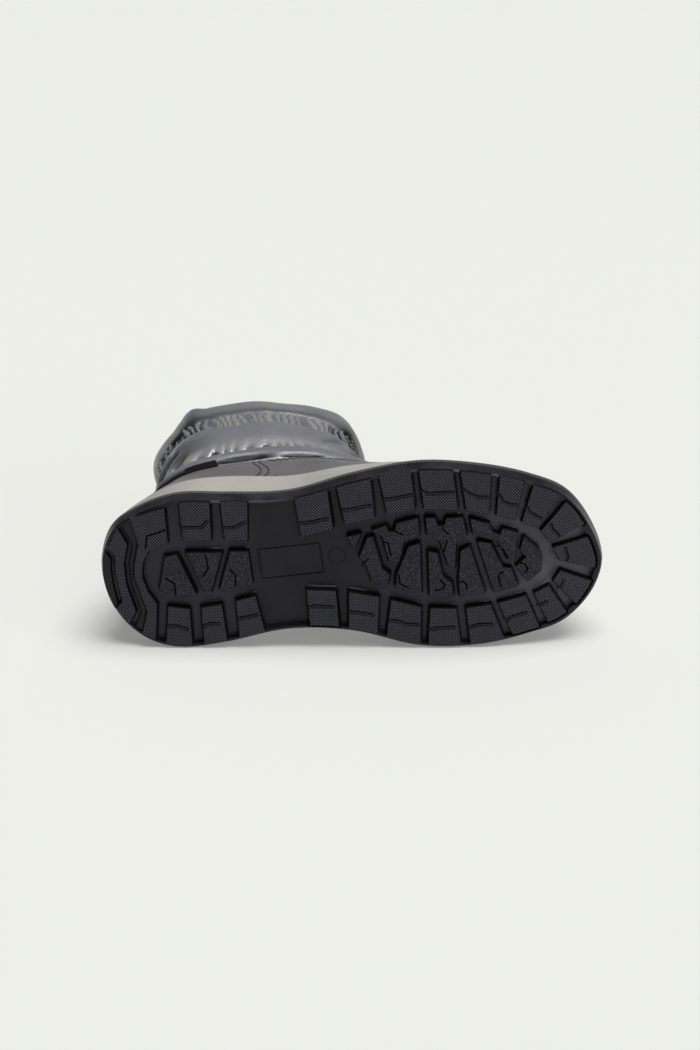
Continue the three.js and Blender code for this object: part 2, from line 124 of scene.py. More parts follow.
# Quilted sections of the shaft: first ring, last ring, share of PUFF, share of the arch.
BAFFLES = [(5, 6, 0.7, 1), (6, 8, 1, 1), (8, 9, 0.27, 1), (9, 10, 0.9, 0.86)]

# Ring lugs: outer start, outer end, inner start, inner end in degrees, and outer inset.
RING_LUGS = [
    (46.8, 55.8, 45.9, 56.5, 0.058), (58.6, 65.6, 59.6, 65.6, 0.042),
    (76.6, 84.1, 76.3, 82.5, 0.046), (86.1, 93.8, 85.2, 92.6, 0.058),
    (95.7, 103, 95.5, 103, 0.033), (104.8, 113, 105.6, 115.6, 0.054),
    (114.8, 122.8, 117.9, 125, 0.05), (125.2, 132.5, 127.3, 134.3, 0.042),
    (135.4, 145, 136.5, 146.4, 0.067), (148.6, 159.2, 149.6, 158, 0.117),
    (164, 184, 160.5, 168.5, 0.192), (191.5, 204.3, 190.5, 202.5, 0.167),
    (209.2, 218, 206.6, 220.6, 0.175), (221.4, 230, 223.4, 232.4, 0.125),
    (232.6, 242, 234.8, 242.6, 0.083), (244.4, 252.6, 245.4, 253, 0.083),
    (254.4, 262.6, 255.8, 264, 0.092), (264.6, 271, 266.4, 272, 0.108),
    (273.2, 279.8, 274.6, 280.4, 0.117), (290.2, 296.6, 290.2, 294.8, 0.092),
    (299.8, 306.2, 299, 305, 0.067), (309.6, 318.4, 309.2, 322.4, 0.092),
]
# Finishes of the rubber, in the order of the outsole's materials; the walls' finish is a painted
# shade and the channels' finish is painted light.
RUBBER_FINISHES = ("polished", "knurled", "pebbled", "ribbed", "painted wall shade", "side", "channel")
SMOOTH, KNURLED, PEBBLED, RIBBED, PAINTED_SHADE, SIDE, LIT_CHANNEL = range(len(RUBBER_FINISHES))
# Lugs inside the ring: corners along and across, in shares of SOLE_LENGTH and BALL_WIDTH.
HEEL_BARS = [
    [(0.129, 0.504), (0.153, 0.52), (0.191, 0.296), (0.153, 0.287), (0.117, 0.32)],
    [(0.17, 0.529), (0.242, 0.529), (0.219, 0.303), (0.207, 0.303)],
    [(0.258, 0.535), (0.294, 0.535), (0.302, 0.358), (0.236, 0.318)],
]
HEEL_C = [
    (0.13, 0.771), (0.061, 0.713), (0.075, 0.569), (0.067, 0.459), (0.066, 0.392), (0.09, 0.202),
    (0.08, 0.078), (0.108, 0.048), (0.112, 0.246), (0.095, 0.307), (0.083, 0.392), (0.086, 0.472),
    (0.097, 0.528), (0.115, 0.559), (0.136, 0.578),
]
# Steps behind the heel's C: how far they stand back in shares of LUG_DEPTH, finish, corners.
HEEL_STEPS = [
    (0.5, SMOOTH, [
        (0.061, 0.7), (0.075, 0.569), (0.067, 0.459), (0.066, 0.392), (0.09, 0.202), (0.08, 0.09),
        (0.068, 0.108), (0.081, 0.195), (0.063, 0.342), (0.059, 0.458), (0.067, 0.562),
        (0.046, 0.657)]),
    (0.3, KNURLED, [
        (0.036, 0.65), (0.055, 0.562), (0.047, 0.458), (0.051, 0.342), (0.069, 0.195),
        (0.054, 0.122), (0.028, 0.215), (0.042, 0.247), (0.03, 0.4), (0.03, 0.498),
        (0.015, 0.538)]),
    (0.54, SMOOTH, [
        (0.004, 0.527), (0.008, 0.522), (0.021, 0.475), (0.02, 0.415), (0.024, 0.332),
        (0.033, 0.223), (0.024, 0.194), (0.01, 0.22), (0.004, 0.33), (0.004, 0.411)]),
]
CENTRE_LUGS = [
    [(0.488, 0.614), (0.516, 0.632), (0.503, 0.543)],
    [(0.528, 0.61), (0.539, 0.614), (0.558, 0.443), (0.573, 0.41), (0.569, 0.342), (0.538, 0.36),
     (0.527, 0.453), (0.512, 0.503)],
    [(0.537, 0.649), (0.565, 0.676), (0.57, 0.641), (0.581, 0.644), (0.585, 0.687),
     (0.628, 0.717), (0.631, 0.617), (0.601, 0.589), (0.591, 0.475), (0.572, 0.475),
     (0.557, 0.617)],
    [(0.609, 0.561), (0.632, 0.582), (0.636, 0.299), (0.584, 0.335), (0.586, 0.403)],
    [(0.642, 0.717), (0.661, 0.716), (0.667, 0.674), (0.68, 0.678), (0.683, 0.715),
     (0.715, 0.719), (0.725, 0.616), (0.703, 0.574), (0.702, 0.435), (0.689, 0.453),
     (0.671, 0.589), (0.646, 0.621)],
    [(0.648, 0.536), (0.667, 0.525), (0.678, 0.399), (0.696, 0.36), (0.7, 0.281), (0.652, 0.288)],
    [(0.712, 0.538), (0.73, 0.562), (0.763, 0.298), (0.712, 0.283), (0.709, 0.367)],
    [(0.73, 0.711), (0.768, 0.681), (0.775, 0.635), (0.79, 0.619), (0.794, 0.652),
     (0.825, 0.626), (0.82, 0.47), (0.807, 0.472), (0.785, 0.582), (0.736, 0.622)],
    [(0.745, 0.586), (0.772, 0.573), (0.797, 0.441), (0.813, 0.432), (0.829, 0.332),
     (0.78, 0.299)],
    [(0.837, 0.6), (0.866, 0.533), (0.875, 0.461), (0.872, 0.404), (0.847, 0.351), (0.823, 0.441),
     (0.842, 0.488), (0.83, 0.53)],
]
# Smooth shallow bands across the ring lugs, as lines in millimetres along and across.
BANDS = [
    [(43.5, 71.4), (56.7, 71.6), (60.4, 75.4)], [(68.8, 71.6), (74.3, 71.4), (80.4, 74.6)],
    [(36.8, 13.2), (42.3, 13.2), (47.9, 11.1)], [(55.9, 12.9), (60.5, 14.7), (65.8, 14.7)],
    [(75.1, 17.4), (80, 18.4), (87, 20.1)],
    [(110.1, 74.2), (112.8, 74.2), (116.7, 74.8), (126.3, 76.8)],
    [(132.1, 81.8), (135.9, 81.8), (140.8, 82.7), (150.2, 84.7)],
    [(155.1, 88.2), (157.8, 87.9), (163.3, 88.8), (172.6, 90.8)],
    [(176.9, 93.1), (180.8, 91.4), (194.9, 92.2)],
    [(198.8, 95), (203.5, 91.2), (208.3, 89), (214.2, 88.8)],
    [(219.6, 90.3), (222.5, 86), (226.5, 83.7), (230.4, 83.5)],
    [(234.3, 84.7), (236.9, 79.3), (240, 76.7), (243.8, 74.7)],
    [(249.1, 70.9), (250.3, 67.4), (253.2, 64.6), (254.4, 62)],
    [(257.4, 56.6), (259.2, 50.5), (258.5, 46.4)], [(254.9, 29.9), (257.9, 37.1)],
    [(243.4, 20.9), (244.6, 23.8), (248.5, 25.1)], [(224.5, 14.5), (228.4, 17.3), (236.8, 19.5)],
    [(203.3, 11.5), (209.4, 13.5), (218.2, 13.6)], [(181, 10.9), (188.8, 12.1), (196.6, 12.5)],
    [(159.8, 16.8), (164.8, 16.2), (169.6, 14.3), (176.5, 14.1)],
    [(137, 21.9), (142.6, 21.3), (150.9, 19.8)], [(114.5, 24.3), (118.1, 25.2), (129.2, 24.6)],
]
# Thin cuts in the other lugs.
SIPES = [
    [(36.6, 70.4), (32.4, 68.6), (26.5, 66.7), (25.6, 59.4)],
    [(36.3, 41.8), (41.2, 38.6), (41.8, 29.1)], [(58.6, 55.7), (60, 47.8), (57.1, 43)],
    [(72, 46.9), (75, 44.2), (74.9, 35.6)], [(163.5, 69.5), (167.3, 67.7)],
    [(155.6, 63.7), (159.4, 62.9), (160.1, 58.5), (161.2, 55.6)],
    [(189.2, 72.5), (190.3, 69.9), (192.6, 68)], [(191.8, 64), (190.4, 57.8)],
    [(219.2, 58.5), (222.9, 58.3), (225.8, 53)], [(148.4, 53.4), (145.6, 50.4), (145.6, 47.5)],
    [(165.4, 43.7), (166.1, 38.6), (170.6, 36.3)],
    [(188.2, 40.8), (191, 38.2), (190.4, 36), (185.8, 34.5)],
    [(198.3, 39.2), (201, 39.9), (202.8, 38.4), (203.2, 35.4)],
    [(223.6, 44.7), (221.1, 43.7), (220.9, 41.1), (222.3, 36.2)],
    [(232.5, 49.7), (235, 48.8), (237.1, 45.7), (235.5, 43.2)],
]
# The outlined rectangle and the bare ring mark on the waist, in the same shares.
WAIST_RECTANGLE = [(0.312, 0.529), (0.434, 0.566), (0.442, 0.407), (0.321, 0.37)]
RING_MARK = (0.469, 0.495, 0.017)

# Rubber side between the tread's root and the rim, and the top's hidden edge: share of that
# height, inset.
OUTSOLE_SIDE = [
    (0, 0.9), (0.05, 0.6), (0.11, 0.42), (0.18, 0.25), (0.28, 0.1), (0.42, 0.06), (0.47, 0.3),
    (0.5, 0.75), (0.53, 0.9), (0.56, 0.75), (0.59, 0.15), (0.62, 0), (0.9, 0), (0.96, 0.1),
    (1, 0.5), (1, 5),
]
# First and last row of the rim's ribbed lip.
LIP_ROWS = (10, 12)
# Midsole side: share of the way to its top edge, share of the height, inset.
MIDSOLE_SIDE = [
    (0.05, 0, 0.6), (0.1, 0.08, 0), (0.4, 0.3, 0), (0.7, 0.54, 0), (1, 0.78, 0), (1, 0.93, 0.2),
    (1, 1, 1.2),
]


def mix(a, b, t):
    return a + (b - a) * t


def unit(vectors):
    return vectors / np.linalg.norm(vectors, axis=-1, keepdims=True)


def easing(x):
    t = np.clip(x, 0, 1)
    return t * t * (3 - 2 * t)


def bump(x, width):
    """1 at 0, falling softly to 0 at a distance of width."""
    return easing(1 - np.abs(x) / width)


def smooth_at(values, x):
    """A smooth curve through values at 0, 1, 2 and so on."""
    values = np.asarray(values, float)
    x = np.asarray(x, float)
    i = np.clip(np.floor(x).astype(int), 0, len(values) - 2)
    t = x - i
    a, b, c, d = (values[np.clip(i + k, 0, len(values) - 1)] for k in (-1, 0, 1, 2))
    return b + 0.5 * t * (c - a + t * (2 * a - 5 * b + 4 * c - d + t * (3 * (b - c) + d - a)))


def table_row(angle):
    """Where an angle lies in the tables of half-widths and middles, the same on both sides."""
    turn = np.mod(angle, 360)
    return np.where(turn <= 180, turn, 360 - turn) / TABLE_STEP


def spring(along):
    """How far the sole rises from the ground at its toe and at its heel."""
    toe = np.maximum(0, (along / SOLE_LENGTH - TOE_SPRING_START) / (1 - TOE_SPRING_START))
    heel = np.maximum(0, (HEEL_SPRING_END - along / SOLE_LENGTH) / HEEL_SPRING_END)
    return TOE_SPRING * toe ** 2 + HEEL_SPRING * heel ** 2


def forefoot_share(along):
    """How far the toe's end of the boot has been reached, from 0 to 1."""
    return easing((along / SOLE_LENGTH - 0.45) / 0.5)


def place(along, height, across):
    """From millimetres along, up and across the boot to metres in the frame."""
    along, height, across = np.broadcast_arrays(along, height, across)
    return np.stack([along - SOLE_LENGTH / 2, height - BOOT_HEIGHT / 2,
                     np.maximum(across, 0)], -1) / 1000


def in_frame(points):
    """The same for points whose last axis holds along, height and across."""
    return place(*np.moveaxis(points, -1, 0))


def round_angles(columns, start=-90):
    return start + np.arange(columns) * 360 / columns


def line_at(halves, middles, rear, front, angle, out):
    """Points of an outline, moved out, as along and across."""
    def at(turn):
        row = table_row(turn)
        share = (1 - np.cos(np.radians(turn))) / 2
        across = smooth_at(middles, row) + smooth_at(halves, row) * np.sin(np.radians(turn))
        return np.stack([mix(rear, front, share), BALL_WIDTH * across], -1)
    slope = unit(at(angle + 0.05) - at(angle - 0.05))
    out = np.asarray(out, float)[..., None]
    return at(angle) + out * np.stack([-slope[..., 1], slope[..., 0]], -1)


def sole_line(angle, out):
    return line_at(SOLE_HALF, SOLE_MIDDLE, 0, SOLE_LENGTH, angle, out)


def top_line(angle, out):
    rear, front = TOP_REAR * SOLE_LENGTH, TOP_FRONT * SOLE_LENGTH
    return line_at(TOP_HALF, TOP_MIDDLE, rear, front, angle, out)


def puff_at(ring):
    """How far the quilting's sections stand out."""
    ring = np.asarray(ring, float)
    puff = np.zeros_like(ring)
    for first, last, size, arch in BAFFLES:
        t = (ring - first) / (last - first)
        inside = (t >= 0) & (t <= 1)
        arc = np.abs(np.sin(np.pi * arch * np.clip(t, 0, 1))) ** 0.9
        puff = np.where(inside, PUFF * size * arc, puff)
    return puff


def ring_height(share):
    return np.where(share < 0, mix(MIDSOLE_TOP, CUP_FLOOR + GAP, -share),
                    mix(MIDSOLE_TOP, BOOT_HEIGHT, share))


def bare_surface(angle, ring):
    angle, ring = np.broadcast_arrays(np.asarray(angle, float), np.asarray(ring, float))
    rear, front, leg, width, centre, inset, sprung, dropped, rear_full, front_full = (
        smooth_at(RINGS[:, k], ring) for k in (0, 2, 4, 5, 6, 7, 8, 9, 10, 11))
    rear_height, front_height = (smooth_at(ring_height(RINGS[:, k]), ring) for k in (1, 3))
    row = table_row(angle)
    share = (1 - np.cos(np.radians(angle))) / 2
    leg = np.clip(leg, 0, 1)
    fullness = (mix(rear_full, 1, easing((row - 2.1) / 1.1))
                * mix(1, front_full, easing((row - 7) / 4)))
    half = mix(smooth_at(TOP_HALF, row), width * fullness * smooth_at(LEG_HALF, row), leg)
    middle = mix(smooth_at(TOP_MIDDLE, row), centre, leg)
    along = SOLE_LENGTH * mix(rear, front, share)
    lift = (spring(along) * np.maximum(0, sprung)
            - FOREFOOT_DROP * forefoot_share(along) * dropped)
    height = mix(rear_height, front_height, share) + lift
    across = BALL_WIDTH * (middle + (half - inset) * np.sin(np.radians(angle)))
    return np.stack([along, height, across], -1)


def surface(angle, ring, out):
    """Points of the upper's outer surface moved out along its normal: along, height, across."""
    angle, ring = np.broadcast_arrays(np.asarray(angle, float), np.asarray(ring, float))
    turn = bare_surface(angle + 0.5, ring) - bare_surface(angle - 0.5, ring)
    rise = (bare_surface(angle, np.minimum(COLLAR, ring + 0.02))
            - bare_surface(angle, np.maximum(0, ring - 0.02)))
    normal = unit(np.cross(turn, rise))
    return bare_surface(angle, ring) + np.asarray(out, float)[..., None] * normal


def midsole_height(height, along):
    """A height in the midsole, moved with the sole's springs and the forefoot's drop."""
    share = (height - RIM_TOP) / (MIDSOLE_TOP - RIM_TOP)
    return height - FOREFOOT_DROP * share * forefoot_share(along) + spring(along)


# Meshes ---------------------------------------------------------------------------------------

def new_object(name, data):
    obj = bpy.data.objects.new(name, data)
    bpy.context.scene.collection.objects.link(obj)
    return obj


def new_piece(name, points, faces, materials, face_material=None, uv=None, sharp=None):
    """A mesh object that rides on the boot, with its faces turned outwards."""
    tris = np.concatenate([faces[:, [0, k, k + 1]] for k in range(1, faces.shape[1] - 1)])
    a, b, c = (points[tris[:, k]] for k in range(3))
    if np.einsum("ij,ij->i", a, np.cross(b, c)).sum() < 0:
        faces = faces[:, ::-1]
        uv = None if uv is None else uv[:, ::-1]
    mesh = bpy.data.meshes.new(name)
    mesh.from_pydata(points.tolist(), [], faces.tolist())
    for made in materials:
        mesh.materials.append(made)
    if face_material is not None:
        mesh.polygons.foreach_set("material_index", np.asarray(face_material, np.int32))
    if uv is not None:
        layer = mesh.uv_layers.new(name="surface_mm")
        layer.data.foreach_set("uv", np.asarray(uv, np.float32).reshape(-1))
    mesh.polygons.foreach_set("use_smooth", np.ones(len(mesh.polygons), bool))
    if sharp is not None:
        mesh.set_sharp_from_angle(angle=math.radians(sharp))
    mesh.update()
    obj = new_object(name, mesh)
    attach(obj, "root")
    return obj


# Columns round the midsole and the upper.
BODY_COLUMNS = 480


def grid_faces(rows, columns, closed):
    """Quads of a grid of points whose columns run round a loop, and whose rows may do so too."""
    r = np.arange(rows if closed else rows - 1)[:, None]
    k = np.arange(columns)[None, :]
    up, right = (r + 1) % rows, (k + 1) % columns
    return np.stack([r * columns + k, r * columns + right, up * columns + right, up * columns + k],
                    -1).reshape(-1, 4)


def grid_uv(u, v):
    """Corner UVs of those quads: u at columns + 1 places round, v at every row and one more."""
    r, k = np.meshgrid(np.arange(len(v) - 1), np.arange(len(u) - 1), indexing="ij")
    corners = [(u[k], v[r]), (u[k + 1], v[r]), (u[k + 1], v[r + 1]), (u[k], v[r + 1])]
    return np.stack([np.stack(c, -1) for c in corners], 2).reshape(-1, 4, 2)


def arc_length(points):
    return np.concatenate([[0], np.cumsum(np.linalg.norm(np.diff(points, axis=0), axis=1))])


def lattice_noise(u, v, size, seed):
    """Smooth seeded noise from -1 to 1 over two coordinates, with features of that size."""
    table = np.random.default_rng(seed).uniform(-1, 1, (64, 64))
    x, y = u / size, v / size
    i, j = np.floor(x).astype(int), np.floor(y).astype(int)
    s, t = x - i, y - j
    s, t = s * s * (3 - 2 * s), t * t * (3 - 2 * t)
    at = lambda a, b: table[a % 64, b % 64]
    return mix(mix(at(i, j), at(i + 1, j), s), mix(at(i, j + 1), at(i + 1, j + 1), s), t)


def segment_distance(points, start, end):
    """Distance of each point from the nearest of some segments."""
    best = np.full(len(points), 1e9)
    for a, b in zip(start, end):
        step = b - a
        t = np.clip(((points - a) @ step) / max(step @ step, 1e-12), 0, 1)
        best = np.minimum(best, np.hypot(*(points - a - t[:, None] * step).T))
    return best


def loop_distance(points, corners):
    """The same from a closed loop, negative inside it."""
    ends = np.roll(corners, -1, axis=0)
    distance = segment_distance(points, corners, ends)
    inside = np.zeros(len(points), bool)
    for (xa, ya), (xb, yb) in zip(corners, ends):
        crosses = (ya > points[:, 1]) != (yb > points[:, 1])
        with np.errstate(divide="ignore", invalid="ignore"):
            inside ^= crosses & (points[:, 0] < (xb - xa) * (points[:, 1] - ya) / (yb - ya) + xa)
    return np.where(inside, -distance, distance)


def counter_clockwise(corners):
    corners = np.asarray(corners, float)
    x, y = corners.T
    turned = np.sum(x * np.roll(y, -1) - np.roll(x, -1) * y) < 0
    return corners[::-1] if turned else corners


def offset_loop(corners, out):
    """A loop moved outwards: round at its outer corners, mitred at the inner ones."""
    step = unit(np.roll(corners, -1, axis=0) - corners)
    normal = np.stack([step[:, 1], -step[:, 0]], 1)
    points = []
    for k, corner in enumerate(corners):
        before, after = normal[k - 1], normal[k]
        turn = step[k - 1][0] * step[k][1] - step[k - 1][1] * step[k][0]
        cosine = float(before @ after)
        if out > 0 and (turn > 1e-6 or cosine < -0.999):
            sweep = math.acos(max(-1, min(1, cosine)))
            count = max(1, round(sweep / 0.5))
            start = math.atan2(before[1], before[0])
            for j in range(count + 1):
                angle = start + sweep * j / count
                points.append(corner + out * np.array([math.cos(angle), math.sin(angle)]))
        else:
            points.append(corner + out * (before + after) / max(0.2, 1 + cosine))
    return np.array(points)


def divide_loop(corners, step):
    """A loop with points no further apart than step."""
    points = []
    for a, b in zip(corners, np.roll(corners, -1, axis=0)):
        count = max(1, math.ceil(np.linalg.norm(b - a) / step))
        points += [a + (b - a) * j / count for j in range(count)]
    return np.array(points)


def ladder(columns, start):
    """Triangles that close a ring, in steps from the point where they start."""
    at = lambda k: (k + start) % columns
    faces = []
    for k in range(columns // 2):
        a, b, c, d = at(k), at(k + 1), at(-k), at(-k - 1)
        if b != d:
            faces.append((a, b, d))
        if a != c:
            faces.append((a, d, c))
    return np.array(faces)


def halved(quads):
    return np.concatenate([quads[:, [0, 1, 2]], quads[:, [0, 2, 3]]])


def capped(rings):
    """Points and triangles of a stack of rings from -90 degrees, closed at both ends."""
    columns = len(rings[0])
    cap = ladder(columns, columns // 4)
    faces = np.concatenate([halved(grid_faces(len(rings), columns, False)), cap[:, [0, 2, 1]],
                            cap + (len(rings) - 1) * columns])
    return np.concatenate(rings), faces


def near_box(points, shape, margin):
    """Indices of the points within a margin of a shape's box."""
    low, high = shape.min(0) - margin, shape.max(0) + margin
    return np.flatnonzero(((points > low) & (points < high)).all(1))


# Materials ------------------------------------------------------------------------------------

def linear(colour):
    """An sRGB hex colour as linear RGBA."""
    parts = [int(colour[k:k + 2], 16) / 255 for k in (1, 3, 5)]
    return [p / 12.92 if p <= 0.04045 else ((p + 0.055) / 1.055) ** 2.4 for p in parts] + [1]


def node(tree, kind, settings=None, **links):
    """Adds a node: settings are its properties or input values, links are its linked inputs, by
    name or, as i0 and so on, by number."""
    made = tree.nodes.new(kind)
    for key, value in (settings or {}).items():
        if isinstance(key, str) and hasattr(made, key):
            setattr(made, key, value)
        else:
            made.inputs[key].default_value = value
    for key, source in links.items():
        place_of = int(key[1:]) if key[1:].isdigit() else key.replace("_", " ")
        tree.links.new(source, made.inputs[place_of])
    return made


def material(name, **values):
    """A material with a Principled shader whose even values are set on its own sockets."""
    made = bpy.data.materials.new(name)
    made.use_nodes = True
    tree = made.node_tree
    shader = tree.nodes["Principled BSDF"]
    for key, value in values.items():
        shader.inputs[key.replace("_", " ")].default_value = value
    return made, tree, shader


def two_colours(tree, fac, dark, light, low=0.3, high=0.7):
    ramp = node(tree, "ShaderNodeValToRGB", i0=fac)
    for element, position, colour in zip(ramp.color_ramp.elements, (low, high), (dark, light)):
        element.position = position
        element.color = linear(colour)
    return ramp.outputs[0]


def position_of(tree):
    return node(tree, "ShaderNodeNewGeometry").outputs["Position"]


def surface_uv(tree):
    return node(tree, "ShaderNodeUVMap", {"uv_map": "surface_mm"}).outputs[0]


def noise(tree, at, scale, detail, **values):
    return node(tree, "ShaderNodeTexNoise", {"Scale": scale, "Detail": detail, **values},
                Vector=at).outputs[0]


# The wave texture repeats after this length at scale 1.
WAVE_LENGTH = 0.31416


def ribs_of(tree, pitch, distortion, way="X"):
    """Parallel ribs over the surface's own length and height, their pitch in metres."""
    return node(tree, "ShaderNodeTexWave", {
        "bands_direction": way, "Scale": WAVE_LENGTH / pitch, "Distortion": distortion,
        "Detail": 0}, Vector=surface_uv(tree)).outputs[1]


def maths(tree, operation, *terms):
    """A Math node whose terms are sockets or numbers."""
    numbers = {k: term for k, term in enumerate(terms) if isinstance(term, float)}
    sockets = {f"i{k}": term for k, term in enumerate(terms) if k not in numbers}
    return node(tree, "ShaderNodeMath", {"operation": operation, **numbers}, **sockets).outputs[0]


def lighter_where(tree, base, colour, height, low, high):
    """Mixes a colour in where the height lies between low and high."""
    share = node(tree, "ShaderNodeMapRange", {1: low, 2: high, 3: 0.0, 4: 1.0}, i0=height)
    return node(tree, "ShaderNodeMix", {"data_type": "RGBA", 7: linear(colour)},
                i0=share.outputs[0], i6=base).outputs[2]


def join(tree, shader, base, height=None, strength=0.0, distance=0.0, **links):
    """Links the shader's colour, and its normal to a bump of that height."""
    if base is not None:
        tree.links.new(base, shader.inputs["Base Color"])
    if height is not None:
        relief = node(tree, "ShaderNodeBump", {"Strength": strength, "Distance": distance},
                      Height=height, **links)
        tree.links.new(relief.outputs[0], shader.inputs["Normal"])


def moulded_rubber(name, colours, finish):
    """Carbon-black rubber, compression moulded: satin where the mould was polished, and matt with
    small glints where its steel was knurled or blasted."""
    dark, light, glint, rim, wall, toe, channel = colours
    made, tree, shader = material(name, Roughness=0.36, IOR=1.5, Specular_IOR_Level=0.24)
    at = position_of(tree)
    cloudy = noise(tree, at, 60, 4)
    base = two_colours(tree, cloudy, dark, light, 0.35, 0.7)
    height, strength, distance = noise(tree, at, 1500, 2), 0.25, 0.0001
    if finish == "channel":
        # Painted light: the channel floors of the forefoot and the heel are made lighter, as if
        # lit, and lighter still towards the toe.
        along = node(tree, "ShaderNodeSeparateXYZ", Vector=at).outputs[0]
        behind = maths(tree, "MULTIPLY", along, -1.0)
        base = lighter_where(tree, base, channel, along, -0.005, 0.025)
        base = lighter_where(tree, base, channel, behind, 0.052, 0.066)
        base = lighter_where(tree, base, toe, along, 0.05, 0.125)
    elif finish == "knurled":
        # Staggered pips, 1.65 mm apart along the boot in rows 0.9 mm apart.
        parts = node(tree, "ShaderNodeSeparateXYZ", Vector=at).outputs
        waves = [maths(tree, "COSINE", maths(tree, "MULTIPLY", part, 2 * math.pi / pitch))
                 for part, pitch in ((parts[0], 0.00165), (parts[2], 0.0018))]
        height, strength, distance = maths(tree, "MULTIPLY", *waves), 0.9, 0.00012
        shader.inputs["Roughness"].default_value = 0.5
        base = lighter_where(tree, base, glint, height, 0.25, 0.95)
    elif finish == "pebbled":
        # Blasted grain of about 0.6 mm.
        cells = node(tree, "ShaderNodeTexVoronoi", {"Scale": 1700}, Vector=at).outputs[0]
        height, strength, distance = maths(tree, "MULTIPLY", cells, -1.0), 0.9, 0.0003
        shader.inputs["Roughness"].default_value = 0.5
        both = maths(tree, "SUBTRACT", noise(tree, at, 900, 3), cells)
        base = lighter_where(tree, base, glint, both, 0.0, 0.75)
    elif finish == "ribbed":
        # Upright ribs of 1.1 mm round the rim, their tops lighter.
        height, strength, distance = ribs_of(tree, 0.0011, 0.6), 0.9, 0.0003
        shader.inputs["Roughness"].default_value = 0.6
        base = lighter_where(tree, base, rim, height, 0.0, 1.0)
    elif finish == "side":
        base = lighter_where(tree, base, toe, cloudy, 0.35, 2.2)
        shader.inputs["Specular IOR Level"].default_value = 0.4
    # Painted shade: the walls of the lugs and the thin cuts are given a near-black colour.
    elif finish == "painted wall shade":
        base = None
        shader.inputs["Base Color"].default_value = linear(wall)
        shader.inputs["Specular IOR Level"].default_value = 0.12
        shader.inputs["Roughness"].default_value = 0.6
    join(tree, shader, base, height, strength, distance)
    return made


def foam_rubber(name, colours):
    """EVA foam, compression moulded with a fine leathery skin: pale, matt, slightly dusty."""
    made, tree, shader = material(name, Roughness=0.62, IOR=1.49, Specular_IOR_Level=0.35)
    at = position_of(tree)
    join(tree, shader, two_colours(tree, noise(tree, at, 35, 5), *colours),
         noise(tree, at, 1400, 3), 0.35, 0.0001)
    return made


def coated_leather(name, colours):
    """Split leather with a rolled polyurethane coat: fine pebble grain, low even gloss."""
    made, tree, shader = material(name, Roughness=0.46, IOR=1.5, Coat_Weight=0.12,
                                  Coat_Roughness=0.35)
    at = position_of(tree)
    # Grain cells of about 0.9 mm.
    cells = node(tree, "ShaderNodeTexVoronoi", {"Scale": 1100, "feature": "DISTANCE_TO_EDGE"},
                 Vector=at).outputs["Distance"]
    join(tree, shader, two_colours(tree, noise(tree, at, 45, 5), *colours),
         maths(tree, "ADD", cells, noise(tree, at, 900, 4)), 0.3, 0.00012)
    return made


def calendered_nylon(name, colours, roughness, weave=0.00045):
    """Plain-woven nylon, hot pressed and coated: a metallic satin with a fine weave, with painted
    light, warm, on the crests of its folds and painted shade, nearly black, in their hollows.
    The weave is drawn at 0.45 mm, coarser than the real 0.2 mm, to show."""
    dark, light, pressed, hollow_shade = colours
    made, tree, shader = material(name, Roughness=roughness, IOR=1.53, Metallic=0.5,
                                  Sheen_Weight=0.1, Sheen_Roughness=0.4)
    uv = surface_uv(tree)
    # The painted light and shade of the folds, kept on the mesh.
    tone = node(tree, "ShaderNodeAttribute", {"attribute_name": "painted_fold_shading"}).outputs["Fac"]
    base = two_colours(tree, noise(tree, uv, 40, 4), dark, light)
    # Painted light on the crests of the folds, painted shade in their hollows.
    base = lighter_where(tree, base, pressed, tone, 0.0, 1.0)
    base = lighter_where(tree, base, hollow_shade, maths(tree, "MULTIPLY", tone, -1.0), 0.0, 1.0)
    threads = maths(tree, "MAXIMUM", *(ribs_of(tree, weave, 0.3, way) for way in ("X", "Y")))
    small = node(tree, "ShaderNodeBump", {"Strength": 0.12, "Distance": 0.0001}, Height=threads)
    join(tree, shader, base, noise(tree, uv, 130, 3, Distortion=0.8), 0.3, 0.0009,
         Normal=small.outputs[0])
    return made


def brushed_fleece(name, colours):
    """Polyester fleece, knitted and brushed: soft matt pile with darker hollows."""
    made, tree, shader = material(name, Roughness=0.95, Sheen_Weight=0.4, Sheen_Roughness=0.5)
    tufts = noise(tree, position_of(tree), 420, 6, Roughness=0.7)
    join(tree, shader, two_colours(tree, tufts, *colours), tufts, 0.8, 0.001)
    return made


def woven_ribbon(name, colours):
    """Polyester ribbon, satin woven: close ribs across its width and a dull sheen."""
    made, tree, shader = material(name, Roughness=0.6, Specular_IOR_Level=0.2)
    # Ribs of 0.5 mm.
    ribs = ribs_of(tree, 0.0005, 0.2)
    join(tree, shader, two_colours(tree, ribs, *colours, 0.2, 0.9), ribs, 0.5, 0.0001)
    return made


def twisted_thread(name, colours):
    """Bonded polyester thread: round, slightly waxy."""
    made, tree, shader = material(name, Roughness=0.5)
    join(tree, shader, two_colours(tree, noise(tree, position_of(tree), 2500, 1), *colours))
    return made


# Outsole --------------------------------------------------------------------------------------

# Columns round the outsole, and the longest edge along its lugs and cuts, in millimetres.
OUTSOLE_COLUMNS = 1440
LOOP_STEP = 2.5
CORNER_ROUND = 0.4
# Lug wall: distance from the lug's core, share of its height.
LUG_WALL = [(0.15, 0), (0.4, 0.05), (1.05, 0.88), (1.7, 1)]
# Distances from a lug's core where its own finish ends, where the painted shade on its wall ends,
# and beyond which it doesn't shape the tread.
FACE_END = 0.2
SHADE_END = 1.05
LUG_MARGIN = 3
SIPE_HALF = 0.48
BAND_HALF = 1.05
BAND_LINE_HALF = 0.36
# Share of a cut's half-width over which its floor is flat, and how far round it is looked for.
CUT_FLOOR = 0.4
LINE_MARGIN = 2
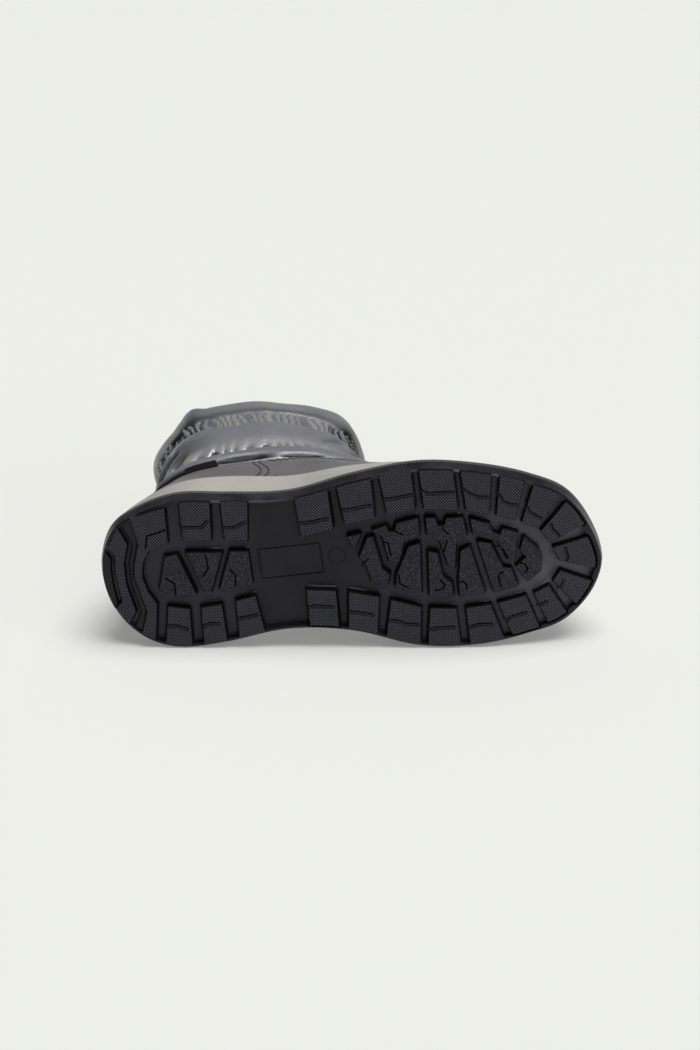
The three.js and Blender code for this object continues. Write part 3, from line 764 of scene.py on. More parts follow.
# The border's bevelled outer edge, and the width of its foot inside.
BORDER_BEVEL = 1.8
BORDER_FOOT = 0.5
# Ring lugs stand clear of the border by a narrow channel from this inset, and the border rises
# beside them over this width.
CLEAR_INSET = 0.11
CLEAR_STEP = 0.4


def from_shares(corners):
    return np.array(corners) * [SOLE_LENGTH, BALL_WIDTH]


def lug_shapes():
    """Every lug as (corners, rise, finish, whether it stands clear of the border)."""
    lugs = []
    for outer_start, outer_end, inner_start, inner_end, inset in RING_LUGS:
        outer = sole_line(mix(outer_start, outer_end, np.linspace(0, 1, 6)),
                          -inset * RING_LUG_REACH)
        inner = sole_line(np.array([inner_end, inner_start], float), -RING_LUG_REACH)
        lugs.append((np.concatenate([outer, inner]), 0, KNURLED, inset > CLEAR_INSET))
    lugs += [(from_shares(corners), 0, PEBBLED, False) for corners in HEEL_BARS + CENTRE_LUGS]
    lugs.append((from_shares(HEEL_C), 0, KNURLED, False))
    lugs += [(from_shares(corners), rise * LUG_DEPTH, finish, False)
             for rise, finish, corners in HEEL_STEPS]
    return [(counter_clockwise(corners), *rest) for corners, *rest in lugs]


def border_sizes(angle):
    row = table_row(angle)
    return (mix(BORDER_WIDTH, BORDER_TOE_WIDTH, easing((row - 8.5) / 2)),
            mix(BORDER_HEEL_RISE, BORDER_RISE, easing((row - 1.6) / 1.2)))


def border_height(points):
    """Height of the raised border at each point of the tread's plan."""
    angles = round_angles(OUTSOLE_COLUMNS, 0)
    tree = KDTree(OUTSOLE_COLUMNS)
    for k, (x, y) in enumerate(sole_line(angles, 0)):
        tree.insert((x, y, 0), k)
    tree.balance()
    found = [tree.find((x, y, 0)) for x, y in points]
    inset = np.array([f[2] for f in found])
    width, rise = border_sizes(angles[[f[1] for f in found]])
    height = np.where(inset < BORDER_BEVEL, rise + BORDER_BEVEL - inset, rise)
    return mix(height, LUG_DEPTH, np.clip((inset - width) / BORDER_FOOT, 0, 1))


def there_and_back(line):
    return np.array(list(line) + list(line[-2:0:-1]), float)


def tread_lines():
    """Thin cuts as (line, half-width, depth, height of the face that they are cut in)."""
    bands = [np.array(line) for line in BANDS]
    lines = [(line, BAND_HALF, 0.35, 0) for line in bands]
    for line in bands:
        step = np.gradient(line, axis=0)
        normal = unit(np.stack([-step[:, 1], step[:, 0]], 1))
        normal *= np.sign(normal[:, 1:] + 1e-6)
        lines.append((line + 0.85 * normal, BAND_LINE_HALF, 1.2, 0.1))
    lines += [(np.array(line), SIPE_HALF, 1.5, 0) for line in SIPES]
    rectangle = from_shares(WAIST_RECTANGLE + WAIST_RECTANGLE[:1])
    along, across, radius = RING_MARK
    turns = np.linspace(0, 2 * np.pi, 25)
    ring = np.array([along * SOLE_LENGTH, across * BALL_WIDTH]) + (
        radius * SOLE_LENGTH * np.stack([np.cos(turns), np.sin(turns)], 1))
    return lines + [(rectangle, 0.45, 0.7, LUG_DEPTH), (ring, 0.3, 0.25, LUG_DEPTH)]


def in_shade(points, core):
    """Whether a lug's wall faces the sole's middle or its lateral side, where it gets a painted
    shade.
    """
    here, step = loop_distance(points, core), 0.01
    normal = np.stack([loop_distance(points + shift, core) - here
                       for shift in ([step, 0], [0, step])], 1) / step
    towards = np.clip((SOLE_LENGTH / 2 - points[:, 0]) / 60, -1, 1)
    return normal[:, 0] * towards + 0.8 * normal[:, 1] > 0.1


def tread_height(points, lugs, lines, shaded=False):
    """Height of the tread above its lowest plane, and which finish it has there: painted shade on
    some walls and thin cuts, and painted light on the channel floors.
    """
    height = border_height(points)
    finish = np.full(len(points), SMOOTH)
    steps, shares = np.array(LUG_WALL).T
    for core, _, _, clear in lugs:
        if clear:
            near = near_box(points, core, LUG_MARGIN)
            gap = (loop_distance(points[near], core) - SHADE_END) / CLEAR_STEP
            height[near] = mix(float(LUG_DEPTH), height[near], np.clip(gap, 0, 1))
    for core, rise, kind, _ in lugs:
        near = near_box(points, core, LUG_MARGIN)
        distance = loop_distance(points[near], core)
        lug = mix(rise, LUG_DEPTH, np.interp(distance, steps, shares))
        height[near] = np.minimum(height[near], lug)
        finish[near[distance < FACE_END]] = kind
        # Walls that face the sole's middle or its lateral side get painted shade.
        wall = near[(distance >= FACE_END) & (distance < SHADE_END)]
        if shaded and len(wall):
            finish[wall[in_shade(points[wall], core)]] = PAINTED_SHADE
    for line, half, depth, root in lines:
        near = near_box(points, line, LINE_MARGIN)
        distance = segment_distance(points[near], line[:-1], line[1:])
        cut = root + depth * np.interp(distance, [half * CUT_FLOOR, half], [1, 0])
        height[near] = np.where(distance < half, np.maximum(height[near], cut), height[near])
        # Thin cuts get the walls' painted shade; wide bands and the waist's marks stay smooth.
        finish[near[distance < half * 0.9]] = SMOOTH if half > SIPE_HALF or root > 1 else PAINTED_SHADE
    # Deep smooth places, the channel floors, get painted light.
    finish[(finish == SMOOTH) & (height > 0.8 * LUG_DEPTH)] = LIT_CHANNEL
    return height, finish


def tread_loops(lugs, lines):
    """The loops in the tread's plan that its mesh follows."""
    loops = [divide_loop(offset_loop(core, level), LOOP_STEP) for core, *_ in lugs
             for level, _ in LUG_WALL]
    angles = np.arange(0, 360, 1.5)
    width = border_sizes(angles)[0]
    loops += [sole_line(angles, out) for out in (-width, -width - BORDER_FOOT, -BORDER_BEVEL)]
    return loops + [divide_loop(offset_loop(there_and_back(line), half * share), LOOP_STEP)
                    for line, half, _, _ in lines for share in (1, CUT_FLOOR)]


def tread_plan(boundary, inner_edge, loops):
    """The tread's plan: its points, its triangles and where each point of the boundary went."""
    columns = len(boundary)
    points, edges = [boundary], [(k, (k + 1) % columns) for k in range(columns)]
    count = columns
    outline = boundary[::8]
    for loop in loops:
        for k in np.flatnonzero(loop_distance(loop, outline) > -0.3):
            loop[k] = inner_edge[np.argmin(np.hypot(*(inner_edge - loop[k]).T))]
        edges += [(count + k, count + (k + 1) % len(loop)) for k in range(len(loop))]
        points.append(loop)
        count += len(loop)
    # A loose grid between the loops.
    x, y = np.meshgrid(np.arange(2, SOLE_LENGTH, 3.5), np.arange(-5, BALL_WIDTH + 10, 3.5))
    grid = np.stack([x.ravel(), y.ravel()], 1)
    keep = loop_distance(grid, outline) < -2
    for loop in loops:
        near = near_box(grid, loop, 2)
        near = near[keep[near]]
        keep[near[segment_distance(grid[near], loop, np.roll(loop, -1, axis=0)) < 1]] = False
    points.append(grid[keep])
    corners = [Vector(p) for p in np.concatenate(points)]
    made = delaunay_2d_cdt(corners, edges, [list(range(columns))], 1, 1e-5)
    rim = {source: index for index, sources in enumerate(made[3]) for source in sources}
    return (np.array([tuple(v) for v in made[0]]), np.array([tuple(f) for f in made[2]]),
            np.array([rim[k] for k in range(columns)]))


def outsole_piece(finishes):
    angles = round_angles(OUTSOLE_COLUMNS, 0)
    first = OUTSOLE_SIDE[0][1]
    boundary = sole_line(angles, -first)
    lugs = [(offset_loop(corners, -CORNER_ROUND), *rest) for corners, *rest in lug_shapes()]
    lines = tread_lines()
    found, tris, rim = tread_plan(boundary, sole_line(angles, -first - 0.3),
                                  tread_loops(lugs, lines))
    height, _ = tread_height(found, lugs, lines)
    _, finish = tread_height(found[tris].mean(1), lugs, lines, shaded=True)
    tread = place(found[:, 0], height + spring(found[:, 0]), found[:, 1])
    # The triangles of the plan all turn the same way as the side's.
    step, other = (found[tris[:, k]] - found[tris[:, 0]] for k in (1, 2))
    wrong = step[:, 0] * other[:, 1] - step[:, 1] * other[:, 0] < 0
    tris = np.where(wrong[:, None], tris[:, ::-1], tris)

    # The side, from the tread's edge to the rim, then the hidden top.
    rings = []
    for share, inset in OUTSOLE_SIDE[1:]:
        line = sole_line(angles, -inset)
        height = mix(LUG_DEPTH, RIM_TOP, share) + spring(line[:, 0])
        rings.append(place(line[:, 0], height, line[:, 1]))
    rows = len(rings) + 1
    side_points = np.concatenate(rings)
    index = np.concatenate([rim, len(found) + np.arange(len(side_points))])
    quads = grid_faces(rows, OUTSOLE_COLUMNS, False)
    run = arc_length(np.concatenate([boundary, boundary[:1]])) / 1000
    row = np.arange(len(quads)) // OUTSOLE_COLUMNS
    kinds = np.where((row >= LIP_ROWS[0]) & (row <= LIP_ROWS[1]), RIBBED, SIDE)
    cap = index[-OUTSOLE_COLUMNS:][ladder(OUTSOLE_COLUMNS, 0)]
    points = np.concatenate([tread, side_points])
    uv = np.concatenate([found[tris] / 1000, halved(grid_uv(run, np.arange(rows) * 0.001)),
                         points[cap][:, :, [0, 2]]])
    kinds = np.concatenate([finish, kinds, kinds, np.full(len(cap), SMOOTH)])
    return new_piece("outsole_rubber", points, np.concatenate([tris, halved(index[quads]), cap]),
                     finishes, kinds, uv, sharp=27)


# Midsole --------------------------------------------------------------------------------------

MIDSOLE_RIBS = [0.2, 0.35, 0.5, 0.65, 0.8]
# Share of the midsole's height above which its edge is rounded.
ROUND_FROM = 0.93


def midsole_piece(finish, rib_depth):
    angles = round_angles(BODY_COLUMNS)
    ways, heights, insets = np.array(MIDSOLE_SIDE).T
    rings = []
    for rise in np.unique(np.concatenate([np.linspace(0, 1, 70), [ROUND_FROM, 0.965]])):
        inset = np.interp(rise, heights, insets)
        inset += sum(rib_depth * bump(rise - r, 0.035) for r in MIDSOLE_RIBS)
        if rise > ROUND_FROM:
            inset = 1.2 - math.sqrt(max(0, 1 - ((rise - ROUND_FROM) / 0.07) ** 2))
        line = mix(sole_line(angles, -inset - OUTLINE_STEP), top_line(angles, -inset),
                   np.interp(rise, heights, ways))
        height = midsole_height(mix(RIM_TOP + GAP, MIDSOLE_TOP, rise), line[:, 0])
        rings.append(place(line[:, 0], height, line[:, 1]))
    # The cup inside, down to its floor.
    inner = surface(angles, 0.98, GAP)
    rings.append(place(inner[:, 0], midsole_height(MIDSOLE_TOP, inner[:, 0]), inner[:, 2]))
    rings += [in_frame(surface(angles, ring, GAP)) for ring in (0.66, 0.33)]
    floor = surface(angles, 0, GAP)
    rings.append(place(floor[:, 0], CUP_FLOOR + spring(floor[:, 0]), floor[:, 2]))
    return new_piece("midsole_foam", *capped(rings), [finish], sharp=40)


# Leather --------------------------------------------------------------------------------------

# Soft creases of the vamp where the foot bends: angle, ring, half-length in degrees, depth.
VAMP_CREASES = [(168, 3.2, 26, 0.8), (186, 3.9, 30, 0.9), (170, 4.45, 24, 0.6),
                (196, 2.6, 20, 0.5)]
# The turned top edge: the angle from the heel where it starts, and the ring of its stitches.
BAND_START = 76
TOP_STITCHES = 4.76
# The counter's lowest ring and the ring where the leather's edge rounds off.
COUNTER_LOW = 1.12
EDGE_RING = 4.9
# Distance in degrees of the counter's two rows of stitches from its front edge.
STITCH_ROWS = (2.2, 4.4)


def leather_relief(angle, ring):
    turn = np.abs(np.mod(angle + 180, 360) - 180)
    relief = np.zeros_like(turn)
    for at, level, half, depth in VAMP_CREASES:
        along = (np.mod(angle, 360) - at) / half
        drift = level + 0.25 * along ** 2
        relief -= depth * bump(along, 1) * bump(ring - drift, 0.28)
        relief += 0.5 * depth * bump(along, 1) * bump(ring - drift - 0.3, 0.3)
    relief *= easing((ring - 1.4) / 0.5) * easing((EDGE_RING - ring) / 0.3)
    relief += 0.12 * lattice_noise(turn, ring * 22, 14, 5) * easing((ring - 1.3) / 0.6)
    # The top edge is turned over and stitched down in front of the counter.
    relief += 0.45 * easing((ring - 4.66) / 0.03) * easing((turn - BAND_START) / 1.2)
    relief -= 0.5 * easing((ring - EDGE_RING) / 0.1) ** 2
    return relief


def upper_piece(leather, lining):
    angles = round_angles(BODY_COLUMNS)
    outer_rings = np.unique(np.concatenate([
        np.linspace(0, 1, 5), np.linspace(1, 4.6, 62), np.linspace(4.6, TOP_STITCHES, 9),
        np.linspace(TOP_STITCHES, SEAM, 10)]))
    rows = [surface(angles, ring, leather_relief(angles, ring)) for ring in outer_rings]
    rows += [surface(angles, ring, -UPPER_WALL - 0.15 * lattice_noise(angles, ring * 25, 6, 9))
             for ring in np.linspace(SEAM, 0, 26)]
    faces = grid_faces(len(rows), BODY_COLUMNS, True)
    kinds = (np.arange(len(faces)) // BODY_COLUMNS >= len(outer_rings)).astype(int)
    return new_piece("upper_leather", in_frame(np.concatenate(rows)), faces, [leather, lining],
                     kinds, sharp=50)


def counter_edge(ring):
    """Angle from the heel of the counter's front edge."""
    return mix(70.0, 78.0, (ring - 1) / 4)


def thick_patch(outer, inner):
    """Faces of a patch between two equal grids of points, with its own edges."""
    rows, columns = outer.shape[:2]
    inside = rows * columns
    r, k = np.meshgrid(np.arange(rows - 1), np.arange(columns - 1), indexing="ij")
    a = (r * columns + k).ravel()
    faces = [np.stack([a, a + 1, a + columns + 1, a + columns], 1),
             np.stack([a + columns, a + columns + 1, a + 1, a], 1) + inside]
    k = np.arange(columns - 1)
    top = (rows - 1) * columns + k
    faces += [np.stack([k, inside + k, inside + k + 1, k + 1], 1),
              np.stack([top + 1, inside + top + 1, inside + top, top], 1)]
    a = np.arange(rows - 1) * columns
    b = a + columns - 1
    faces += [np.stack([a + columns, inside + a + columns, inside + a, a], 1),
              np.stack([b, inside + b, inside + b + columns, b + columns], 1)]
    points = np.concatenate([outer.reshape(-1, 3), inner.reshape(-1, 3)])
    return points, np.concatenate(faces)


def counter_piece(leather):
    ring, u = np.meshgrid(np.linspace(COUNTER_LOW, EDGE_RING, 60), np.linspace(-1, 1, 241),
                          indexing="ij")
    angle = u * counter_edge(ring)
    edge = np.minimum(np.minimum((1 - np.abs(u)) * 60, (ring - COUNTER_LOW) * 16),
                      (EDGE_RING - ring) * 10)
    rounded = 1 - 0.55 * (1 - np.clip(edge / 0.8, 0, 1)) ** 2
    relief = 0.12 * lattice_noise(angle + 300, ring * 22, 15, 6)
    # The leather dips a little along the double row of stitches.
    for row in STITCH_ROWS:
        relief = relief - 0.45 * bump(np.abs(np.abs(angle) - counter_edge(ring) + row), 0.8)
    outer = in_frame(surface(angle, ring, GAP + OVERLAY * rounded + relief * rounded))
    points, faces = thick_patch(outer, in_frame(surface(angle, ring, GAP)))
    return new_piece("counter_leather", points, faces, [leather], sharp=50)


def stitch_row(angles, ring, out, length, gap, zigzag=0):
    """Pairs of end points, in angle, ring and height, of the stitches along a line."""
    line = np.broadcast_arrays(angles, ring, out)
    run = arc_length(surface(*line))
    pairs = []
    for j, start in enumerate(np.arange(0, run[-1] - length, length + gap)):
        a, b = ([np.interp(at, run, values) for values in line] for at in (start, start + length))
        shift = zigzag * (1 if j % 2 else -1)
        pairs.append(([a[0], a[1] + shift, a[2]], [b[0], b[1] - shift, b[2]]))
    return pairs


def stitches_piece(name, pairs, radius, thread):
    """Short threads that rise out of the leather and go back in."""
    steps, sides = 6, 6
    t = np.linspace(0, 1, steps)
    starts, ends = np.moveaxis(np.array(pairs), 1, 0)
    path = mix(starts[:, None], ends[:, None], t[None, :, None])
    lift = radius * (0.2 + np.sin(np.pi * t))[None, :]
    at = surface(path[..., 0], path[..., 1], path[..., 2] + lift)
    above = surface(path[..., 0], path[..., 1], path[..., 2] + lift + 1) - at
    forward = unit(np.gradient(at, axis=1))
    side = unit(np.cross(forward, above))
    up = np.cross(side, forward)
    size = radius * np.sqrt(np.clip(1.02 - (2 * t - 1) ** 2, 0.05, 1))[None, :, None, None]
    turn = (np.arange(sides) * 2 * np.pi / sides)[:, None]
    ring = np.cos(turn) * side[:, :, None] + np.sin(turn) * up[:, :, None]
    points = at[:, :, None] + ring * size
    block = grid_faces(steps, sides, False)
    caps = np.array([[0, 1, 2, 3], [0, 3, 4, 5]])
    end = (steps - 1) * sides
    one = np.concatenate([block, caps[:, ::-1], caps + end])
    faces = np.concatenate([one + k * steps * sides for k in range(len(pairs))])
    return new_piece(name, in_frame(points.reshape(-1, 3)), faces, [thread])


# Shaft ----------------------------------------------------------------------------------------

# Open folds above the lower gather: angle, half-width in degrees, height in rings, depth.
GATHER_PITS = [(61, 5, 0.22, 1.8), (89, 3.4, 0.14, 1.4), (118.5, 7, 0.2, 1.9),
               (133, 4.5, 0.18, 1.5), (34, 5.5, 0.24, 1.7)]
# Long creases with a soft bank: start angle and ring, end angle and ring, half-width in mm, depth.
LONG_CREASES = [(6, 5.3, 50, 5.8, 1.7, 2.2), (2, 5.6, 46, 6.45, 1.8, 2.0),
                (4, 6.15, 40, 6.8, 1.8, 1.8), (8, 6.6, 32, 7.05, 1.6, 1.5),
                (122, 6.5, 140, 7.0, 3, 0.9), (140, 5.4, 160, 6.5, 2.2, 1.4),
                (-30, 6.4, -12, 7.1, 3, 1), (200, 6.3, 215, 7.1, 3.5, 1.1)]
# How the collar has set, out of round: angle, half-width in degrees, outward shift in mm.
COLLAR_SET = [(26, 26, -1.3), (51, 9, 1.9), (104, 20, -0.9), (138, 17, 1.3), (165, 20, -1.2)]
# Shaded folds just above the leather: start angle, end angle, ring, half-height in rings, depth.
LOW_FOLDS = [(57, 86, 5.23, 0.2, 2.4), (86, 105, 5.14, 0.13, 1.6), (4, 52, 5.22, 0.24, 2.0)]
# About how far apart the rings are, to measure across them.
RING_MM = 15.0
# How far the nylon lies inside the frame's own puff, and the deepest that a fold goes.
NYLON_INSET = 0.6
DEEPEST = -2.2
# The lowest ring that is drawn, the lower quilting seam, where its folds start, and the ruched
# band between the upper seams.
SHAFT_START = 5.02
LOWER_SEAM = 5.97
GATHER_START = 5.98
BAND_LOW = 7.15
BAND_HIGH = 9.08


def girth(angle):
    """Distance round the leg in mm, from the medial side."""
    turns = np.linspace(-90, 270, 361)
    run = arc_length(bare_surface(turns, 7.0))
    return np.interp(np.mod(angle + 90, 360), turns + 90, run)


def pleats(run, ring, pitch, seed, slant=0.0):
    """Irregular pressed folds across a gathered seam, from 0 to 1."""
    x = (run + slant * ring) / pitch + 0.55 * lattice_noise(run, ring * 3, pitch * 2.3, seed)
    share = x - np.floor(x)
    fold = np.where(share < 0.68, share / 0.68, (1 - share) / 0.32)
    size = 0.55 + 0.45 * lattice_noise(np.floor(x) * 7.3, np.zeros_like(x), 1.0, seed + 1)
    return easing(fold) * size


def seam_groove(ring, at, half):
    return np.exp(-((ring - at) / half) ** 2)


def tapered_line(run, rise, start, end):
    """Distance from a slightly wavering line, and a share that fades towards its ends."""
    step = end - start
    t = np.clip(((run - start[0]) * step[0] + (rise - start[1]) * step[1]) / (step @ step), 0, 1)
    distance = np.hypot(run - start[0] - t * step[0], rise - start[1] - t * step[1])
    wander = 0.7 * lattice_noise(run, rise, 6.0, int(abs(start[0]) * 7) + 3)
    return np.abs(distance + wander), np.clip(4 * t * (1 - t), 0, 1) ** 0.7


def shaft_relief(angle, ring):
    """How far the nylon stands out from the frame's plain puff, in mm, and its painted shading:
    above 0 painted light on the crests of the folds, below 0 painted shade in the hollows."""
    run = girth(angle)
    turn = np.mod(angle + 90, 360) - 90
    plain = puff_at(ring)
    relief = 0.3 * lattice_noise(run, ring * 14, 17, 41) * easing((ring - 5) / 0.3)
    # Ruched band: wide pleats with deep gaps at the sides of the leg, small ruffles on top, with
    # painted light on the pleats and painted shade in the gaps and towards the sides.
    low = BAND_LOW + 0.55 * easing((78 - turn) / 26) * easing((turn + 30) / 30)
    band = easing((ring - low) / 0.2) * easing((BAND_HIGH - ring) / 0.2)
    gaps = np.maximum(bump(turn - 30, 36), 0.75 * bump(turn - 150, 26))
    sway = lattice_noise(run, ring * 9, 9, 27)
    wide = pleats(run + 1.8 * sway, ring, 4.2, 21, 2.0)
    fine = pleats(run - 1.5 * sway, ring, 2.3, 25, -3.0)
    open_gap = easing((0.42 - wide) / 0.3)
    relief += band * (1.6 + (1.1 + 1.2 * gaps) * wide + 0.6 * fine - 1.6 * gaps * open_gap - plain)
    tone = band * (0.1 - 0.35 * gaps + 0.6 * wide + 0.5 * fine - (0.3 + 1.5 * gaps) * open_gap)
    collar = easing((ring - BAND_HIGH) / 0.3)
    for at, half, out in COLLAR_SET:
        relief += out * collar * bump(turn - at, half)
    # Lower gather: fewer, softer folds above the seam, with painted light on them and painted
    # shade between them near the seam.
    soft = pleats(run, ring, 7.0, 31, -5.0)
    above, near = (easing((ring - GATHER_START) / 0.05) * easing((end - ring) / reach)
                   for end, reach in ((6.5, 0.42), (6.28, 0.25)))
    relief += above * (1.2 * soft - 0.5)
    tone += above * (0.4 + 0.4 * soft) - 0.9 * near * easing((0.3 - soft) / 0.25)
    # The seams are sunk, with painted shade along them.
    for seam, half, depth in ((low + 0.08, 0.05, 1.0), (BAND_HIGH - 0.03, 0.05, 1.2),
                              (LOWER_SEAM, 0.035, 1.1)):
        relief -= depth * seam_groove(ring, seam, half)
        tone -= 0.5 * seam_groove(ring, seam, half)
    # Painted shade just above the collar's lower seam. Puckers run a little way out of each seam
    # into the puffed sections.
    tone -= 0.5 * seam_groove(ring, BAND_HIGH + 0.1, 0.1)
    for seam, reach, size in ((BAND_LOW, 0.28, 0.55), (BAND_HIGH, 0.3, 0.45),
                              (LOWER_SEAM, 0.3, 0.4)):
        fade = np.exp(-np.abs(ring - seam) / reach)
        relief += size * fade * lattice_noise(run, ring * 4, 4.2, int(seam * 10))
    # Long creases, with painted shade along their troughs.
    for start_a, start_r, end_a, end_r, half, depth in LONG_CREASES:
        corners = (np.array([girth(at), level * RING_MM])
                   for at, level in ((start_a, start_r), (end_a, end_r)))
        distance, taper = tapered_line(run, ring * RING_MM, *corners)
        relief += depth * taper * (0.5 * bump(distance - 1.3 * half, 1.2 * half)
                                   - bump(distance, half))
        tone -= 0.5 * depth * taper * bump(distance, 0.8 * half)
    # Folds just above the leather, sunk and darkened with painted shade.
    for start, end, level, height, depth in LOW_FOLDS:
        along = np.clip((turn - start) / (end - start), 0, 1)
        swell = np.sin(np.pi * along) ** 0.85
        inside = swell * bump(ring - level, height)
        relief -= depth * inside
        tone -= 2.0 * inside
    # Painted shade: the puffed sections are darkened towards the rear and the front of the leg,
    # and painted light brightens the collar's middle.
    far = 0.6 * easing((68 - turn) / 34) + 1.2 * easing((turn - 139) / 16)
    tone -= easing((ring - 6.2) / 0.3) * far * (1 - 0.3 * collar)
    tone += 0.22 * collar * bump(turn - 100, 38)
    # Open folds above the lower gather, sunk and darkened with painted shade.
    for at, width, height, depth in GATHER_PITS:
        above_seam = (ring - 6.03) / height
        narrow = 1 - np.abs(turn - at) / width - np.clip(above_seam, 0, 1)
        pit = easing(1.5 * np.clip(narrow, 0, 1)) * easing(1 + above_seam * 3)
        relief -= depth * pit
        tone -= 2.3 * pit
    return relief, np.clip(tone, -1, 1)


def shaft_piece(nylon, lining):
    # More columns on the lateral side, where the folds are seen.
    columns = 560
    share = np.arange(columns) / columns
    angles = -90 + 360 * (share + 0.048 * np.sin(2 * np.pi * share))
    outer_rings = np.unique(np.concatenate([
        np.linspace(SHAFT_START, 5.9, 24), np.linspace(5.9, 6.3, 20), np.linspace(6.3, 7.1, 12),
        np.linspace(7.1, 9.12, 60), np.linspace(9.12, COLLAR, 18)]))
    rows, tones = [], []
    for ring in outer_rings:
        level = np.full(columns, ring)
        relief, tone = shaft_relief(angles, level)
        fade = easing((ring - SHAFT_START) / 0.12)
        top = easing((COLLAR - ring) / 0.1)
        out = puff_at(level) - NYLON_INSET + relief * fade * mix(0.3, 1, top)
        rows.append(surface(angles, level, np.maximum(out, DEEPEST)))
        tones.append(tone)
    # The collar's turned edge, then the lining down the inside.
    last = puff_at(COLLAR) - NYLON_INSET
    for turn in np.linspace(0.2, 0.9, 6):
        edge = surface(angles, COLLAR, mix(last, -UPPER_WALL, turn))
        edge[:, 1] += math.sin(math.pi * turn)
        rows.append(edge)
        tones.append(np.zeros(columns))
    lining_start = len(rows) - 2
    for ring in np.linspace(COLLAR, SHAFT_START, 18):
        soft = 0.35 * lattice_noise(angles + 200, ring * 20, 9, 51)
        rows.append(surface(angles, ring, -UPPER_WALL + soft))
        tones.append(np.zeros(columns))
    grid = np.array(rows)
    quads = grid_faces(len(rows), columns, True)
    u = np.append(girth(angles), girth(269.9999)) / 1000
    middle = grid[:, columns // 2]
    v = arc_length(np.concatenate([middle, middle[:1]])) / 1000
    kinds = (np.arange(len(quads)) // columns >= lining_start).astype(int)
    obj = new_piece("shaft_nylon", in_frame(grid.reshape(-1, 3)), quads, [nylon, lining], kinds,
                    grid_uv(u, v), sharp=75)
    # Painted light and shade of the folds at each point: above 0 painted light, below 0 painted
    # shade.
    layer = obj.data.attributes.new("painted_fold_shading", "FLOAT", "POINT")
    layer.data.foreach_set("value", np.concatenate(tones).astype(np.float32))
    return obj


# Tab and insole -------------------------------------------------------------------------------

# The tab's lower edge, the seam that it bridges and its upper edge as rings, its ends as angles,
# its thickness in millimetres, and for its weave its length in metres and its share of width.
TAB_RINGS = (4.72, 4.98, 5.2)
TAB_ANGLES = (44.5, 60.0)
TAB_THICKNESS = 0.8
TAB_LENGTH = 0.019
TAB_SHAPE = 0.35


def tab_piece(ribbon):
    t, s = np.meshgrid(np.linspace(0, 1, 26), np.linspace(0, 1, 60), indexing="ij")
    low, _, high = TAB_RINGS
    ring = mix(low, high, t)
    angle = mix(*TAB_ANGLES, s)
    # It lies on the counter, bridges the seam and lies on the nylon.
    on_counter = GAP * 2 + OVERLAY
    base = np.interp(ring, TAB_RINGS, [on_counter, on_counter + 0.4, puff_at(high) + GAP + 0.1])
    edge = np.minimum(np.minimum(s, 1 - s) * 30, np.minimum(t, 1 - t) * 12)
    thick = TAB_THICKNESS * (0.35 + 0.65 * np.clip(edge / 0.7, 0, 1) ** 0.5)
    points, faces = thick_patch(*(in_frame(surface(angle, ring, out))
                                  for out in (base + thick, base)))
    flat = np.stack([s, t * TAB_SHAPE], -1).reshape(-1, 2) * TAB_LENGTH
    return new_piece("side_tab_ribbon", points, faces, [ribbon],
                     uv=np.concatenate([flat, flat])[faces], sharp=50)


# The insole's section: share of the way from its middle to its edge, height.
INSOLE_SECTION = [(1, 0), (1, 3.2), (0.985, 3.8), (0.95, 4), (0.8, 3.9), (0.6, 3.5), (0.4, 3.2),
                  (0.2, 3.0), (0.03, 3.0)]


def insole_piece(felt):
    edge = surface(round_angles(240), 0.1, -UPPER_WALL - GAP - 0.3)
    rings = []
    for share, height in INSOLE_SECTION:
        along = mix(np.clip(edge[:, 0], 45, 235), edge[:, 0], share)
        across = mix(0.43 * BALL_WIDTH, edge[:, 2], share)
        rings.append(place(along, CUP_FLOOR + GAP + height + spring(along), across))
    return new_piece("insole_felt_pad", *capped(rings), [felt], sharp=50)


# Stage ----------------------------------------------------------------------------------------

# The camera's focal length and the photograph's height in pixels, and the sensor's in mm.
FOCAL_PIXELS = 2909
PHOTO_PIXELS = 1050
SENSOR = 36
CAMERA_TARGET = (-0.0016, -0.1025, 0.0733)
CAMERA_DISTANCE = 1.6


def stage_pieces(settings):
    """A pale seamless table, wide soft lights and the camera."""
    reach = 9.0
    points = [(x * reach, y * reach, 0) for x, y in ((-1, -1), (1, -1), (1, 1), (-1, 1))]
    mesh = bpy.data.meshes.new("floor")
    mesh.from_pydata(points, [], [(0, 1, 2, 3)])
    # The table glows a little, painted light that keeps shadows on it pale.
    made, _, _ = material(
        "table with painted glow", Roughness=0.85, Specular_IOR_Level=0.2,
        Base_Color=linear(settings.floor_hex), Emission_Color=linear("#f6f7f2"),
        Emission_Strength=settings.table_glow)
    mesh.materials.append(made)
    floor = new_object("floor", mesh)
    floor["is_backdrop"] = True

    world = bpy.data.worlds.new("studio")
    bpy.context.scene.world = world
    world.use_nodes = True
    background = world.node_tree.nodes["Background"]
    background.inputs[0].default_value = linear("#f4f5f2")
    background.inputs[1].default_value = settings.world_light

    for name, at, energy, angle in (("overhead", (0.5, -0.25, 2.4), settings.sun_light, 45),
                                    ("side fill", (2.2, -2.0, 1.1), settings.fill_light, 60)):
        data = bpy.data.lights.new(name, "SUN")
        data.energy = energy
        data.angle = math.radians(angle)
        obj = new_object(name, data)
        obj.location = at
        obj.rotation_euler = (-Vector(at)).to_track_quat("-Z", "Y").to_euler()
    bpy.context.scene.view_settings.view_transform = "Standard"

    tilt = math.radians(settings.camera_tilt)
    camera = bpy.data.cameras.new("camera")
    camera.sensor_fit = "VERTICAL"
    camera.sensor_height = SENSOR
    camera.lens = FOCAL_PIXELS * SENSOR / PHOTO_PIXELS
    camera.clip_end = 50
    obj = new_object("camera", camera)
    forward = Vector((0, math.cos(tilt), -math.sin(tilt)))
    obj.location = Vector(CAMERA_TARGET) - forward * CAMERA_DISTANCE
    obj.rotation_euler = forward.to_track_quat("-Z", "Y").to_euler()
    bpy.context.scene.camera = obj


